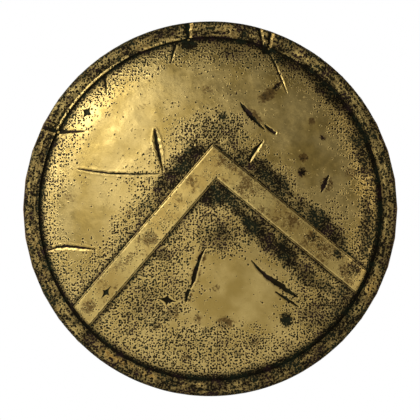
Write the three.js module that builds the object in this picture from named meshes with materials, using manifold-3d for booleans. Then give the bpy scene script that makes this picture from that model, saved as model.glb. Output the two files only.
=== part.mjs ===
// Hoplite aspis: a round bowl shield of planked wood with a bronze face, rim and chevron.
// The bearer's side has a leather lining, an armband, a swinging handgrip and cord loops.
// Millimetres, +Z up. The face looks along -Y, and the origin lies in the armband,
// at the middle of the room that the forearm takes.

import * as THREE from 'three';
import { mergeVertices, toCreasedNormals } from 'three/addons/utils/BufferGeometryUtils.js';
import Module from 'manifold-3d';

const wasm = await Module();
wasm.setup();

const rad = THREE.MathUtils.degToRad;

// The whole shield
const shieldRadius = 450;
const rimWidth = 40;
const grooveWidth = 5;
const seatGap = 0.3;
const overrun = 30;
const ringSegments = 40;
const outlineSegments = 5;
const creaseAngle = rad(35);

// The bowl: a shallow crown that turns into a tighter shoulder before the rim
const shoulderRadius = 130;
const crownSlope = rad(16);
const footSlope = rad(55);
const crownSteps = 3;
const shoulderSteps = 3;

// The layers, from the face inwards
const faceThickness = 0.7;
const coreThickness = 9;
const liningThickness = 1.5;

// The rim band
const rimThickness = 1;
const rimEdgeRound = 5;
const rimLipWidth = 36;
const rimBeadWidth = 5;
const rimBeadRise = 2.4;
const rimCornerSteps = 2;
const faceFlangeWidth = 32;

// The core
const sidePlankCount = 2;
const middlePlankWidth = 180;
const lathCount = 3;
const lathWidth = 52;
const lathLength = 330;
const lathThickness = 3;

// The chevron
const chevronApexX = 6.5;
const chevronApexZ = 153.6;
const chevronTilt = rad(5);
const chevronHalfAngle = rad(45.75);
const chevronWidth = 60;
const chevronThickness = 3.2;
const chevronBevel = 2.2;
const chevronEndGap = 3;

// The armband
const armbandHalfSpan = 58;
const armbandHeight = 84;
const armbandWidth = 104;
const armbandThickness = 1.8;
const armbandRoll = 2.6;
const armbandWaistShare = 0.16;
const armbandFlareShare = 0.1;
const armbandFootLength = 52;
const armbandFootWidth = 98;
const armbandLiningThickness = 1.6;
const armbandSteps = 18;
const rollSteps = 2;
const armbandPlateThickness = 1.4;
const armbandPlateWidth = 122;
const armbandPlateLength = 112;
const armbandRivetSpread = 62;
const armbandRivetInset = 13;

// Rivets
const rivetShankRadius = 2;
const rivetHeadRadius = 4.5;
const rivetHeadHeight = 2.6;
const rivetDomeAngle = rad(45);
const rivetSides = 5;
const rivetHoleClearance = 0.3;
const rivetEndClearance = 0.4;

// The handgrip
const gripRimDistance = 132;
const gripAxisHeight = 15;
const gripReach = 26;
const gripRodRadius = 3.5;
const gripRodSides = 7;
const gripRodSteps = 26;
const gripEyeSpread = 168;
const gripEyeClearance = 0.6;
const gripEyeWall = 5.5;
const gripEyeThickness = 8;
const gripEyeSides = 12;
const gripShoulderGap = 9;
const gripBend = 8;
const gripRun = 12;
const gripPinLength = 11;
const gripKnobRadius = 5.4;
const gripKnobSides = 8;
const gripKnobSteps = 5;
const gripLength = 86;
const gripCoreRadius = 8.6;
const gripCoreSwell = 1.6;
const gripSwellShares = [-1, -0.55, 0, 0.55, 1];
const gripLeatherThickness = 2.2;
const gripBoreClearance = 0.4;
const sleeveSides = 14;
const ferruleLength = 6;
const ferruleRadius = 10;
const bracketPlateLength = 50;
const bracketPlateWidth = 24;
const bracketPlateThickness = 1.8;
const bracketLugFoot = 18;
const bracketLugSegments = 8;
const bracketEyeWrap = rad(20);
const bracketRivetSpread = 32;

// The cord loops
const loopCount = 6;
const loopFirstAngle = rad(30);
const loopBaseRadius = 11.5;
const loopBaseSides = 9;
const loopBaseThickness = 1.6;
const loopHalfSpan = 8;
const loopLegHeight = 6;
const loopWireRadius = 2;
const loopWireSides = 5;
const loopSteps = 8;
const loopNailLength = 7;

// Sizes that follow from the ones above
const coreDepth = faceThickness + seatGap;
const coreBackDepth = coreDepth + coreThickness;
const liningDepth = coreBackDepth + seatGap;
const insideDepth = liningDepth + liningThickness;
const faceFootRadius = shieldRadius - rimWidth - grooveWidth;
const faceFootY = -(rimThickness + seatGap + coreThickness + seatGap + faceThickness);
const rimInnerRadius = shieldRadius - rimWidth;
const gripDistance = shieldRadius - gripRimDistance;
const coreEdgeRadius = shieldRadius - rimThickness - seatGap;
const coreChamfer = rimEdgeRound - rimThickness - seatGap;
const shoulderCentreR = faceFootRadius - shoulderRadius * Math.sin(footSlope);
const shoulderCentreY = faceFootY + shoulderRadius * Math.cos(footSlope);
const crownRadius = shoulderRadius + shoulderCentreR / Math.sin(crownSlope);
const crownCentreY = shoulderCentreY + (crownRadius - shoulderRadius) * Math.cos(crownSlope);
const insideMiddleY = crownCentreY - crownRadius + insideDepth;
const armSeatY = insideMiddleY + armbandHeight / 2;

const bowlSlopes = [];
for (let step = 0; step <= crownSteps; step += 1) {
  bowlSlopes.push(crownSlope * step / crownSteps);
}
for (let step = 1; step <= shoulderSteps; step += 1) {
  bowlSlopes.push(crownSlope + (footSlope - crownSlope) * step / shoulderSteps);
}

// A point of the bowl's section at a slope, at a depth behind the face's outer surface
function bowlPoint(slope, depth) {
  const onCrown = slope <= crownSlope;
  const centreR = onCrown ? 0 : shoulderCentreR;
  const centreY = onCrown ? crownCentreY : shoulderCentreY;
  const radius = (onCrown ? crownRadius : shoulderRadius) - depth;
  return new THREE.Vector2(centreR + radius * Math.sin(slope), centreY - radius * Math.cos(slope));
}

function bowlLine(depth) {
  return bowlSlopes.map((slope) => bowlPoint(slope, depth));
}

// Where a layer of the bowl turns into the flat of the rim
function bowlCorner(depth) {
  const slope = Math.acos((shoulderRadius * Math.cos(footSlope) - depth) / (shoulderRadius - depth));
  return bowlPoint(slope, depth);
}

// The height and the rise of a layer's section at a radius, between two of its points
function sectionAt(radius, depth) {
  const line = bowlLine(depth);
  const found = line.findIndex((point) => point.x > radius);
  const next = found < 1 ? line.length - 1 : found;
  const from = line[next - 1];
  const to = line[next];
  const rise = (to.y - from.y) / (to.x - from.x);
  return { y: from.y + (radius - from.x) * rise, rise };
}

// A place on the bowl with its directions: off the surface, and uphill to the rim
function seatOn(x, y, z, out, slope) {
  const uphill = new THREE.Vector3(out.x * Math.cos(slope), Math.sin(slope), out.y * Math.cos(slope));
  const normal = new THREE.Vector3(-out.x * Math.sin(slope), Math.cos(slope), -out.y * Math.sin(slope));
  return { place: new THREE.Vector3(x, y, z), uphill, normal };
}

function bowlSeat(x, z, depth) {
  const { y, rise } = sectionAt(Math.hypot(x, z), depth);
  return seatOn(x, y, z, new THREE.Vector2(x, z).normalize(), Math.atan(rise));
}

// The same on the flat of the facet that the place lies on, for a head that sits down square
function facetSeat(x, z, depth) {
  const sectorAngle = 2 * Math.PI / ringSegments;
  const middle = (Math.floor(Math.atan2(x, z) / sectorAngle) + 0.5) * sectorAngle;
  const out = new THREE.Vector2(Math.sin(middle), Math.cos(middle));
  const inward = Math.cos(sectorAngle / 2);
  const { y, rise } = sectionAt((x * out.x + z * out.y) / inward, depth);
  return seatOn(x, y, z, out, Math.atan(rise / inward));
}

// A right-handed placing whose Y axis stands off the bowl and whose X axis runs uphill to the rim
function seatMatrix(seat) {
  const along = new THREE.Vector3().crossVectors(seat.uphill, seat.normal);
  return new THREE.Matrix4().makeBasis(seat.uphill, seat.normal, along).setPosition(seat.place);
}

// Closed meshes to solids and back
function toSolid(geometry) {
  const bare = geometry.clone();
  bare.deleteAttribute('normal');
  bare.deleteAttribute('uv');
  const merged = mergeVertices(bare);
  const corners = merged.index.array;
  const triVerts = [];
  for (let i = 0; i < corners.length; i += 3) {
    const [a, b, c] = corners.slice(i, i + 3);
    if (a !== b && b !== c && c !== a) triVerts.push(a, b, c);
  }
  const vertProperties = merged.attributes.position.array;
  return new wasm.Manifold(new wasm.Mesh({
    numProp: 3, vertProperties, triVerts: Uint32Array.from(triVerts),
  }));
}

function fromSolid(solid) {
  const mesh = solid.getMesh();
  const geometry = new THREE.BufferGeometry();
  geometry.setAttribute('position', new THREE.BufferAttribute(mesh.vertProperties, 3));
  geometry.setIndex(new THREE.BufferAttribute(mesh.triVerts, 1));
  return toCreasedNormals(geometry, creaseAngle);
}

// A turned piece from its section, drawn either way round
function turned(section, segments = ringSegments) {
  const points = THREE.ShapeUtils.area(section) < 0 ? [...section].reverse() : section;
  return new THREE.LatheGeometry(points, segments);
}

function ringSection(points) {
  const counterClockwise = THREE.ShapeUtils.area(points) < 0 ? [...points].reverse() : points;
  return [...counterClockwise, counterClockwise[0].clone()];
}

function turnedRing(points, segments = ringSegments) {
  return new THREE.LatheGeometry(ringSection(points), segments);
}

// A layer of the bowl between two depths, as far as the foot
function bowlLayer(outerDepth, innerDepth) {
  return toSolid(turned([...bowlLine(innerDepth), ...bowlLine(outerDepth).reverse()]));
}

// A flat outline in the front view, made a prism that runs through the whole depth
function throughPrism(shape) {
  const depth = 2 * shieldRadius;
  const geometry = new THREE.ExtrudeGeometry(shape, {
    depth, bevelEnabled: false, curveSegments: outlineSegments,
  });
  geometry.translate(0, 0, -depth / 2);
  geometry.rotateX(Math.PI / 2);
  return toSolid(geometry);
}

function circleShape(radius, sides) {
  const shape = new THREE.Shape();
  for (let i = 0; i < sides; i += 1) {
    const angle = 2 * Math.PI * (i + 0.5) / sides;
    const x = radius * Math.cos(angle);
    const y = radius * Math.sin(angle);
    if (i === 0) shape.moveTo(x, y);
    else shape.lineTo(x, y);
  }
  return shape;
}

// Materials
function metal(colour, roughness) {
  return new THREE.MeshStandardMaterial({ color: colour, roughness, metalness: 1 });
}

function natural(colour, roughness) {
  return new THREE.MeshStandardMaterial({ color: colour, roughness, metalness: 0 });
}

const faceBronze = metal(0xb49a50, 0.38);
const rimBronze = metal(0x96803f, 0.45);
const chevronBronze = metal(0xa88d45, 0.4);
const fittingBronze = metal(0x8f7440, 0.42);
const poplar = natural(0x9a7448, 0.75);
const liningLeather = natural(0x5a3a22, 0.7);
const gripLeather = natural(0x3f2716, 0.62);

const shield = new THREE.Group();

function addPiece(name, geometry, material, group = shield) {
  const piece = new THREE.Mesh(geometry, material);
  piece.name = name;
  group.add(piece);
  return piece;
}

// Rivets: where they stand, the shank with its head, and the hole that it needs
function rivetGeometry(headDepth) {
  const shankLength = headDepth - coreDepth - rivetEndClearance;
  const shoulderR = rivetHeadRadius * Math.cos(rivetDomeAngle);
  const section = [
    new THREE.Vector2(0, -shankLength),
    new THREE.Vector2(rivetShankRadius, -shankLength),
    new THREE.Vector2(rivetShankRadius, 0),
    new THREE.Vector2(rivetHeadRadius, 0),
    new THREE.Vector2(shoulderR, rivetHeadHeight * Math.sin(rivetDomeAngle)),
    new THREE.Vector2(0, rivetHeadHeight),
  ];
  return turned(section, rivetSides);
}

function drillHole(seat, radius, length) {
  const hole = new THREE.CylinderGeometry(radius, radius, 2 * length, rivetSides);
  hole.applyMatrix4(seatMatrix(seat));
  return toSolid(hole);
}

function placeRivets(places, headDepth) {
  return places.map(([x, z]) => {
    const seat = facetSeat(x, z, headDepth);
    const geometry = rivetGeometry(headDepth).applyMatrix4(seatMatrix(seat));
    const hole = drillHole(seat, rivetShankRadius + rivetHoleClearance, overrun);
    return { geometry, hole };
  });
}

// Depths of what lies on the lining at the armband and at the handgrip
const plateDepth = insideDepth + seatGap;
const plateTopDepth = plateDepth + armbandPlateThickness;
const footDepth = plateTopDepth + seatGap;
const footTopDepth = footDepth + armbandThickness;
const bracketTopDepth = plateDepth + bracketPlateThickness;

// The armband's feet start within the arch's wall, and its plates a little inside the arch
const footStart = armbandHalfSpan + armbandThickness / 2;
const footEnd = armbandHalfSpan + armbandFootLength;
const plateStart = armbandHalfSpan - armbandRoll - 2 * armbandThickness;

function armbandRivetPlaces() {
  const places = [];
  for (const side of [1, -1]) {
    for (const z of [armbandHalfSpan + armbandRivetInset, footEnd - armbandRivetInset]) {
      for (const x of [-armbandRivetSpread / 2, armbandRivetSpread / 2]) places.push([x, side * z]);
    }
  }
  return places;
}

// The handgrip swings about an upright axis that stands off the lining on the bearer's right
const gripSeat = bowlSeat(-gripDistance, 0, insideDepth);

function bracketRivetPlaces() {
  const places = [];
  for (const z of [gripEyeSpread / 2, -gripEyeSpread / 2]) {
    for (const along of [-bracketRivetSpread / 2, bracketRivetSpread / 2]) {
      places.push([-gripDistance + along * gripSeat.normal.y, z]);
    }
  }
  return places;
}

function loopSeats() {
  const seats = [];
  const slope = (bowlSlopes[crownSteps + shoulderSteps - 2] + bowlSlopes[crownSteps + shoulderSteps - 1]) / 2;
  const radius = bowlPoint(slope, insideDepth).x;
  for (let i = 0; i < loopCount; i += 1) {
    const angle = loopFirstAngle + 2 * Math.PI * i / loopCount;
    seats.push(bowlSeat(radius * Math.cos(angle), radius * Math.sin(angle), plateDepth));
  }
  return seats;
}

const armbandRivets = placeRivets(armbandRivetPlaces(), footTopDepth + seatGap);
const bracketRivets = placeRivets(bracketRivetPlaces(), bracketTopDepth + seatGap);
const loopHoles = loopSeats().map((seat) => (
  drillHole(seat, rivetShankRadius + rivetHoleClearance, loopNailLength + seatGap)
));
const rivetHoles = [...armbandRivets, ...bracketRivets].map((rivet) => rivet.hole);
const allHoles = wasm.Manifold.union([...rivetHoles, ...loopHoles]);

// The wooden core: planks side by side, with the cross laths let into the inner face
function coreSolid() {
  const edge = coreEdgeRadius;
  const frontY = bowlCorner(coreDepth).y;
  const backY = bowlCorner(coreBackDepth).y;
  const section = [
    ...bowlLine(coreDepth),
    bowlCorner(coreDepth),
    new THREE.Vector2(edge - coreChamfer, frontY),
    new THREE.Vector2(edge, frontY + coreChamfer),
    new THREE.Vector2(edge, backY - coreChamfer),
    new THREE.Vector2(edge - coreChamfer, backY),
    bowlCorner(coreBackDepth),
    ...bowlLine(coreBackDepth).reverse(),
  ];
  return toSolid(turned(section));
}

function uprightBox(width, height, x, z) {
  const box = new THREE.BoxGeometry(width, 2 * shieldRadius, height);
  box.translate(x, 0, z);
  return toSolid(box);
}

// Where the planks meet, from the lowest up. The middle one carries the fittings and keeps its
// width, and the planks beside it share what is left.
function plankEdges() {
  const sideWidth = (shieldRadius - middlePlankWidth / 2) / sidePlankCount;
  const edges = [];
  for (let i = 0; i <= sidePlankCount; i += 1) {
    const edge = middlePlankWidth / 2 + i * sideWidth;
    edges.push(-edge, edge);
  }
  return edges.sort((a, b) => a - b);
}

function addCore() {
  const lathLayer = bowlLayer(coreBackDepth - lathThickness, coreBackDepth);
  const recessLayer = bowlLayer(coreBackDepth - lathThickness - seatGap, coreBackDepth + overrun);
  const recess = recessLayer.intersect(uprightBox(
    lathCount * lathWidth + seatGap, lathLength + 2 * seatGap, 0, 0,
  ));
  const core = coreSolid().subtract(recess).subtract(allHoles);
  const edges = plankEdges();
  for (let i = 1; i < edges.length; i += 1) {
    const width = edges[i] - edges[i - 1] - seatGap;
    const middle = (edges[i - 1] + edges[i]) / 2;
    const plank = core.intersect(uprightBox(2 * shieldRadius, width, 0, middle));
    addPiece(`core_plank_${i}`, fromSolid(plank), poplar);
  }
  for (let i = 0; i < lathCount; i += 1) {
    const middle = (i - (lathCount - 1) / 2) * lathWidth;
    const lath = lathLayer.intersect(uprightBox(lathWidth - seatGap, lathLength, middle, 0));
    addPiece(`core_lath_${i + 1}`, fromSolid(lath.subtract(allHoles)), poplar);
  }
}

// The leather lining of the bowl
function addLining() {
  const lining = bowlLayer(liningDepth, insideDepth).subtract(allHoles);
  addPiece('bowl_lining', fromSolid(lining), liningLeather);
}

// The bronze face, with a flange that the rim band laps over
function addFace() {
  const flangeRadius = rimInnerRadius + faceFlangeWidth;
  const section = [
    ...bowlLine(0),
    new THREE.Vector2(flangeRadius, faceFootY),
    new THREE.Vector2(flangeRadius, faceFootY + faceThickness),
    bowlCorner(faceThickness),
    ...bowlLine(faceThickness).reverse(),
  ];
  addPiece('face_sheet', turned(section), faceBronze);
}

// The points of a round corner of the rim band, between two angles
function cornerArc(centreR, centreY, radius, fromAngle, toAngle) {
  const points = [];
  for (let step = 0; step <= rimCornerSteps; step += 1) {
    const angle = fromAngle + (toAngle - fromAngle) * step / rimCornerSteps;
    points.push(new THREE.Vector2(centreR + radius * Math.cos(angle), centreY + radius * Math.sin(angle)));
  }
  return points;
}

function rimSection() {
  const undersideY = faceFootY - seatGap;
  const frontY = undersideY - rimThickness;
  const roundR = shieldRadius - rimEdgeRound;
  const innerRound = rimEdgeRound - rimThickness;
  const lipInner = shieldRadius - rimLipWidth;
  const beadMiddle = rimInnerRadius + rimBeadWidth / 2;
  return [
    new THREE.Vector2(rimInnerRadius, undersideY),
    new THREE.Vector2(rimInnerRadius, frontY - rimBeadRise / 2),
    new THREE.Vector2(beadMiddle, frontY - rimBeadRise),
    new THREE.Vector2(rimInnerRadius + rimBeadWidth, frontY),
    ...cornerArc(roundR, frontY + rimEdgeRound, rimEdgeRound, -Math.PI / 2, 0),
    ...cornerArc(roundR, -rimEdgeRound, rimEdgeRound, 0, Math.PI / 2),
    new THREE.Vector2(lipInner, 0),
    new THREE.Vector2(lipInner, -rimThickness),
    ...cornerArc(roundR, -rimEdgeRound, innerRound, Math.PI / 2, 0),
    ...cornerArc(roundR, frontY + rimEdgeRound, innerRound, 0, -Math.PI / 2),
  ];
}

function addRim() {
  addPiece('rim_band', turnedRing(rimSection()), rimBronze);
}

// The chevron: a bent plate cut from a layer over the face, its top drawn in to bevel the edges
function chevronShape() {
  const reach = 2 * shieldRadius;
  const along = new THREE.Vector2(Math.sin(chevronHalfAngle), -Math.cos(chevronHalfAngle));
  const drop = chevronWidth / Math.sin(chevronHalfAngle);
  const points = [
    new THREE.Vector2(0, 0),
    new THREE.Vector2(reach * along.x, reach * along.y),
    new THREE.Vector2(reach * along.x, reach * along.y - drop),
    new THREE.Vector2(0, -drop),
    new THREE.Vector2(-reach * along.x, reach * along.y - drop),
    new THREE.Vector2(-reach * along.x, reach * along.y),
  ];
  const middle = new THREE.Vector2();
  const apex = new THREE.Vector2(chevronApexX, chevronApexZ);
  return new THREE.Shape(points.map((point) => point.rotateAround(middle, chevronTilt).add(apex)));
}

function smoothBowlY(radius, depth) {
  const crownEdge = (crownRadius - depth) * Math.sin(crownSlope);
  if (radius <= crownEdge) return crownCentreY - Math.sqrt((crownRadius - depth) ** 2 - radius ** 2);
  return shoulderCentreY - Math.sqrt((shoulderRadius - depth) ** 2 - (radius - shoulderCentreR) ** 2);
}

function smoothBowlDepth(radius, y) {
  const onCrown = radius <= (crownCentreY - y) * Math.tan(crownSlope);
  if (onCrown) return crownRadius - Math.hypot(radius, crownCentreY - y);
  return shoulderRadius - Math.hypot(radius - shoulderCentreR, shoulderCentreY - y);
}

function bevelChevron(geometry) {
  const places = geometry.attributes.position;
  const apex = new THREE.Vector2(chevronApexX, chevronApexZ);
  const middle = new THREE.Vector2();
  const topDepth = -(seatGap + chevronThickness);
  for (let i = 0; i < places.count; i += 1) {
    const radius = Math.hypot(places.getX(i), places.getZ(i));
    if (smoothBowlDepth(radius, places.getY(i)) > topDepth + chevronThickness / 2) continue;
    const local = new THREE.Vector2(places.getX(i), places.getZ(i)).sub(apex);
    local.rotateAround(middle, -chevronTilt);
    const across = -local.y * Math.sin(chevronHalfAngle) - Math.abs(local.x) * Math.cos(chevronHalfAngle);
    const drawnIn = (chevronWidth / 2 - across) * 2 * chevronBevel / chevronWidth;
    local.y -= drawnIn / Math.sin(chevronHalfAngle);
    local.rotateAround(middle, chevronTilt).add(apex);
    places.setXYZ(i, local.x, smoothBowlY(local.length(), topDepth), local.y);
  }
}

function addChevron() {
  const plate = bowlLayer(-(seatGap + chevronThickness), -seatGap);
  const reach = new THREE.CylinderGeometry(
    faceFootRadius - chevronEndGap, faceFootRadius - chevronEndGap, 2 * shieldRadius, ringSegments,
  );
  const cut = plate.intersect(throughPrism(chevronShape())).intersect(toSolid(reach));
  const mesh = cut.getMesh();
  const geometry = new THREE.BufferGeometry();
  geometry.setAttribute('position', new THREE.BufferAttribute(mesh.vertProperties, 3));
  geometry.setIndex(new THREE.BufferAttribute(mesh.triVerts, 1));
  bevelChevron(geometry);
  addPiece('chevron', toCreasedNormals(geometry, creaseAngle), chevronBronze);
}

// The armband: an arch over the forearm, rolled at both edges, narrower and flared like a cuff.
// Its path lies upright across the shield, from below the upper foot to below the lower one.
class ArchPath extends THREE.Curve {
  constructor(halfSpan, height, root) {
    super();
    this.halfSpan = halfSpan;
    this.height = height;
    this.root = root;
  }

  getPoint(t) {
    const rootShare = this.root / (2 * this.root + Math.PI * this.height);
    if (t < rootShare) {
      return new THREE.Vector3(0, this.root * (t / rootShare - 1), this.halfSpan);
    }
    if (t > 1 - rootShare) {
      return new THREE.Vector3(0, this.root * ((1 - t) / rootShare - 1), -this.halfSpan);
    }
    const angle = Math.PI * (t - rootShare) / (1 - 2 * rootShare);
    return new THREE.Vector3(0, this.height * Math.sin(angle), this.halfSpan * Math.cos(angle));
  }
}

// A strip between two distances off the path, its edges rolled outwards or plain.
// The path leaves the bowl square, so the section's X points into the arch, its Y along the arm.
function bandSection(width, low, high, roll) {
  const half = width / 2;
  const meet = roll > 0 ? Math.asin((roll - (high - low)) / roll) : 0;
  const shape = new THREE.Shape();
  shape.moveTo(-half, low);
  shape.lineTo(half, low);
  if (roll > 0) shape.absarc(half, low + roll, roll, -Math.PI / 2, Math.PI + meet, false);
  else shape.lineTo(half, high);
  if (roll > 0) shape.absarc(-half, low + roll, roll, -meet, 3 * Math.PI / 2, false);
  else shape.lineTo(-half, high);
  const middle = new THREE.Vector2();
  return new THREE.Shape(shape.getPoints(rollSteps).map((point) => point.rotateAround(middle, Math.PI / 2)));
}

// The arch is wider at the elbow's end, +X, than at the wrist's
function flareAt(x) {
  return 1 + armbandFlareShare * x / armbandWidth;
}

function archSolid(width, low, high, roll) {
  const geometry = new THREE.ExtrudeGeometry(bandSection(width, low, high, roll), {
    steps: armbandSteps, extrudePath: new ArchPath(armbandHalfSpan, armbandHeight, overrun / 2),
  });
  const places = geometry.attributes.position;
  for (let i = 0; i < places.count; i += 1) {
    const flare = flareAt(places.getX(i));
    const rise = Math.min(Math.max(places.getY(i) / armbandHeight, 0), 1);
    const waist = 1 - armbandWaistShare * (1 - rise);
    places.setXYZ(
      i, places.getX(i) * waist, places.getY(i) * flare + insideMiddleY, places.getZ(i) * flare,
    );
  }
  return toSolid(geometry).subtract(bowlLayer(-overrun, footDepth));
}

function footShape(side) {
  const half = armbandFootWidth / 2;
  const shape = new THREE.Shape();
  shape.moveTo(-half, side * footStart * flareAt(-half));
  shape.lineTo(half, side * footStart * flareAt(half));
  shape.lineTo(half, side * (footEnd - armbandRivetInset));
  shape.quadraticCurveTo(half, side * footEnd, half - armbandRivetInset, side * footEnd);
  shape.lineTo(-half + armbandRivetInset, side * footEnd);
  shape.quadraticCurveTo(-half, side * footEnd, -half, side * (footEnd - armbandRivetInset));
  return shape;
}

// A pointed plate, like a leaf with its tip away from the arch
function leafShape(side) {
  const half = armbandPlateWidth / 2;
  const tip = plateStart + armbandPlateLength;
  const shape = new THREE.Shape();
  shape.moveTo(-half, side * plateStart);
  shape.lineTo(half, side * plateStart);
  shape.quadraticCurveTo(half, side * (plateStart + 2 * tip) / 3, 0, side * tip);
  shape.quadraticCurveTo(-half, side * (plateStart + 2 * tip) / 3, -half, side * plateStart);
  return shape;
}

function addArmband() {
  const feetLayer = bowlLayer(footDepth, footTopDepth);
  const plateLayer = bowlLayer(plateDepth, plateTopDepth);
  let band = archSolid(armbandWidth, 0, armbandThickness, armbandRoll);
  for (const side of [1, -1]) band = band.add(feetLayer.intersect(throughPrism(footShape(side))));
  addPiece('armband', fromSolid(band.subtract(allHoles)), fittingBronze);

  const lining = archSolid(
    armbandWidth - 2 * armbandRoll, -(seatGap + armbandLiningThickness), -seatGap, 0,
  );
  addPiece('armband_lining', fromSolid(lining), gripLeather);

  for (const [name, side] of [['armband_plate_upper', 1], ['armband_plate_lower', -1]]) {
    const plate = plateLayer.intersect(throughPrism(leafShape(side))).subtract(allHoles);
    addPiece(name, fromSolid(plate), fittingBronze);
  }
  armbandRivets.forEach((rivet, i) => addPiece(`armband_rivet_${i + 1}`, rivet.geometry, fittingBronze));
}

// The handgrip's frame stands on the hinge axis: X off the lining, Y uphill to the rim, Z up
const gripTurn = Math.atan2(gripSeat.normal.y, gripSeat.normal.x);
const gripAxis = gripSeat.place.clone().addScaledVector(gripSeat.normal, gripAxisHeight);

function bracketPlateShape(z) {
  const half = bracketPlateWidth / 2;
  const reach = (bracketPlateLength / 2 - half) * gripSeat.normal.y;
  const shape = new THREE.Shape();
  shape.absarc(-gripDistance + reach, z, half, -Math.PI / 2, Math.PI / 2, false);
  shape.absarc(-gripDistance - reach, z, half, Math.PI / 2, 3 * Math.PI / 2, false);
  return shape;
}

// The lug that holds the eye, drawn off the hinge axis with its foot below the plate
function bracketLug(z) {
  const eyeOuter = gripRodRadius + gripEyeClearance + gripEyeWall;
  const shape = new THREE.Shape();
  shape.moveTo(-gripAxisHeight - overrun / 2, -bracketLugFoot / 2);
  shape.lineTo(-gripAxisHeight + bracketPlateThickness, -bracketLugFoot / 2);
  shape.absarc(0, 0, eyeOuter, -Math.PI / 2 - bracketEyeWrap, Math.PI / 2 + bracketEyeWrap, false);
  shape.lineTo(-gripAxisHeight + bracketPlateThickness, bracketLugFoot / 2);
  shape.lineTo(-gripAxisHeight - overrun / 2, bracketLugFoot / 2);
  const eye = circleShape(gripRodRadius + gripEyeClearance, gripEyeSides);
  shape.holes.push(new THREE.Path(eye.getPoints().reverse()));
  const geometry = new THREE.ExtrudeGeometry(shape, {
    depth: gripEyeThickness, bevelEnabled: false, curveSegments: bracketLugSegments,
  });
  geometry.translate(0, 0, z - gripEyeThickness / 2);
  geometry.rotateZ(gripTurn);
  geometry.translate(gripAxis.x, gripAxis.y, gripAxis.z);
  return toSolid(geometry);
}

function addBrackets() {
  const plateLayer = bowlLayer(plateDepth, bracketTopDepth);
  const below = bowlLayer(-overrun, plateDepth);
  for (const [name, side] of [['grip_bracket_upper', 1], ['grip_bracket_lower', -1]]) {
    const z = side * gripEyeSpread / 2;
    const plate = plateLayer.intersect(throughPrism(bracketPlateShape(z)));
    const bracket = plate.add(bracketLug(z)).subtract(below).subtract(allHoles);
    addPiece(name, fromSolid(bracket), fittingBronze);
  }
  bracketRivets.forEach((rivet, i) => addPiece(`grip_rivet_${i + 1}`, rivet.geometry, fittingBronze));
}

// A path through corners, each one rounded
function roundedPath(corners, cut) {
  const path = new THREE.CurvePath();
  let from = corners[0];
  for (let i = 1; i < corners.length - 1; i += 1) {
    const back = corners[i - 1].clone().sub(corners[i]).setLength(cut).add(corners[i]);
    const ahead = corners[i + 1].clone().sub(corners[i]).setLength(cut).add(corners[i]);
    path.add(new THREE.LineCurve3(from, back));
    path.add(new THREE.QuadraticBezierCurve3(back, corners[i], ahead));
    from = ahead;
  }
  path.add(new THREE.LineCurve3(from, corners[corners.length - 1]));
  return path;
}

function bailSolid() {
  const eye = gripEyeSpread / 2;
  const foot = eye - gripEyeThickness / 2 - gripShoulderGap;
  const head = foot - gripRun;
  const end = eye + gripPinLength;
  const corners = [
    new THREE.Vector3(0, 0, end),
    new THREE.Vector3(0, 0, foot),
    new THREE.Vector3(gripReach, 0, head),
    new THREE.Vector3(gripReach, 0, -head),
    new THREE.Vector3(0, 0, -foot),
    new THREE.Vector3(0, 0, -end),
  ];
  let bail = toSolid(new THREE.ExtrudeGeometry(circleShape(gripRodRadius, gripRodSides), {
    steps: gripRodSteps, extrudePath: roundedPath(corners, gripBend),
  }));
  for (const z of [end, -end]) {
    const knob = new THREE.SphereGeometry(gripKnobRadius, gripKnobSides, gripKnobSteps);
    knob.rotateX(Math.PI / 2);
    knob.translate(0, 0, z);
    bail = bail.add(toSolid(knob));
  }
  return bail;
}

// A sleeve round the bail's straight run, from its lengthwise outline
function sleeve(outline, bore) {
  const points = [
    new THREE.Vector2(bore, outline[0].y),
    ...outline,
    new THREE.Vector2(bore, outline[outline.length - 1].y),
  ];
  return roundGrip(points);
}

// A turned ring stood up round the bail's straight run
function roundGrip(points) {
  const geometry = turnedRing(points, sleeveSides);
  geometry.rotateX(Math.PI / 2);
  geometry.translate(gripReach, 0, 0);
  return geometry;
}

function swelling(radius) {
  return gripSwellShares.map((share) => (
    new THREE.Vector2(radius + gripCoreSwell * (1 - share * share), share * gripLength / 2)
  ));
}

function addHandgrip() {
  const handgrip = new THREE.Group();
  handgrip.rotation.z = gripTurn;
  handgrip.position.copy(gripAxis);
  shield.add(handgrip);
  const bore = gripRodRadius + gripBoreClearance;
  const core = swelling(gripCoreRadius);
  const under = swelling(gripCoreRadius + seatGap);
  const over = swelling(gripCoreRadius + seatGap + gripLeatherThickness);
  addPiece('grip_bail', fromSolid(bailSolid()), fittingBronze, handgrip);
  addPiece('grip_core', sleeve(core, bore), poplar, handgrip);
  addPiece('grip_leather', roundGrip([...over, ...under.reverse()]), gripLeather, handgrip);
  const near = gripLength / 2 + seatGap;
  const far = near + ferruleLength;
  for (const [name, ends] of [['grip_ferrule_upper', [near, far]], ['grip_ferrule_lower', [-far, -near]]]) {
    const outline = ends.map((y) => new THREE.Vector2(ferruleRadius, y));
    addPiece(name, sleeve(outline, bore), fittingBronze, handgrip);
  }
}

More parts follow.
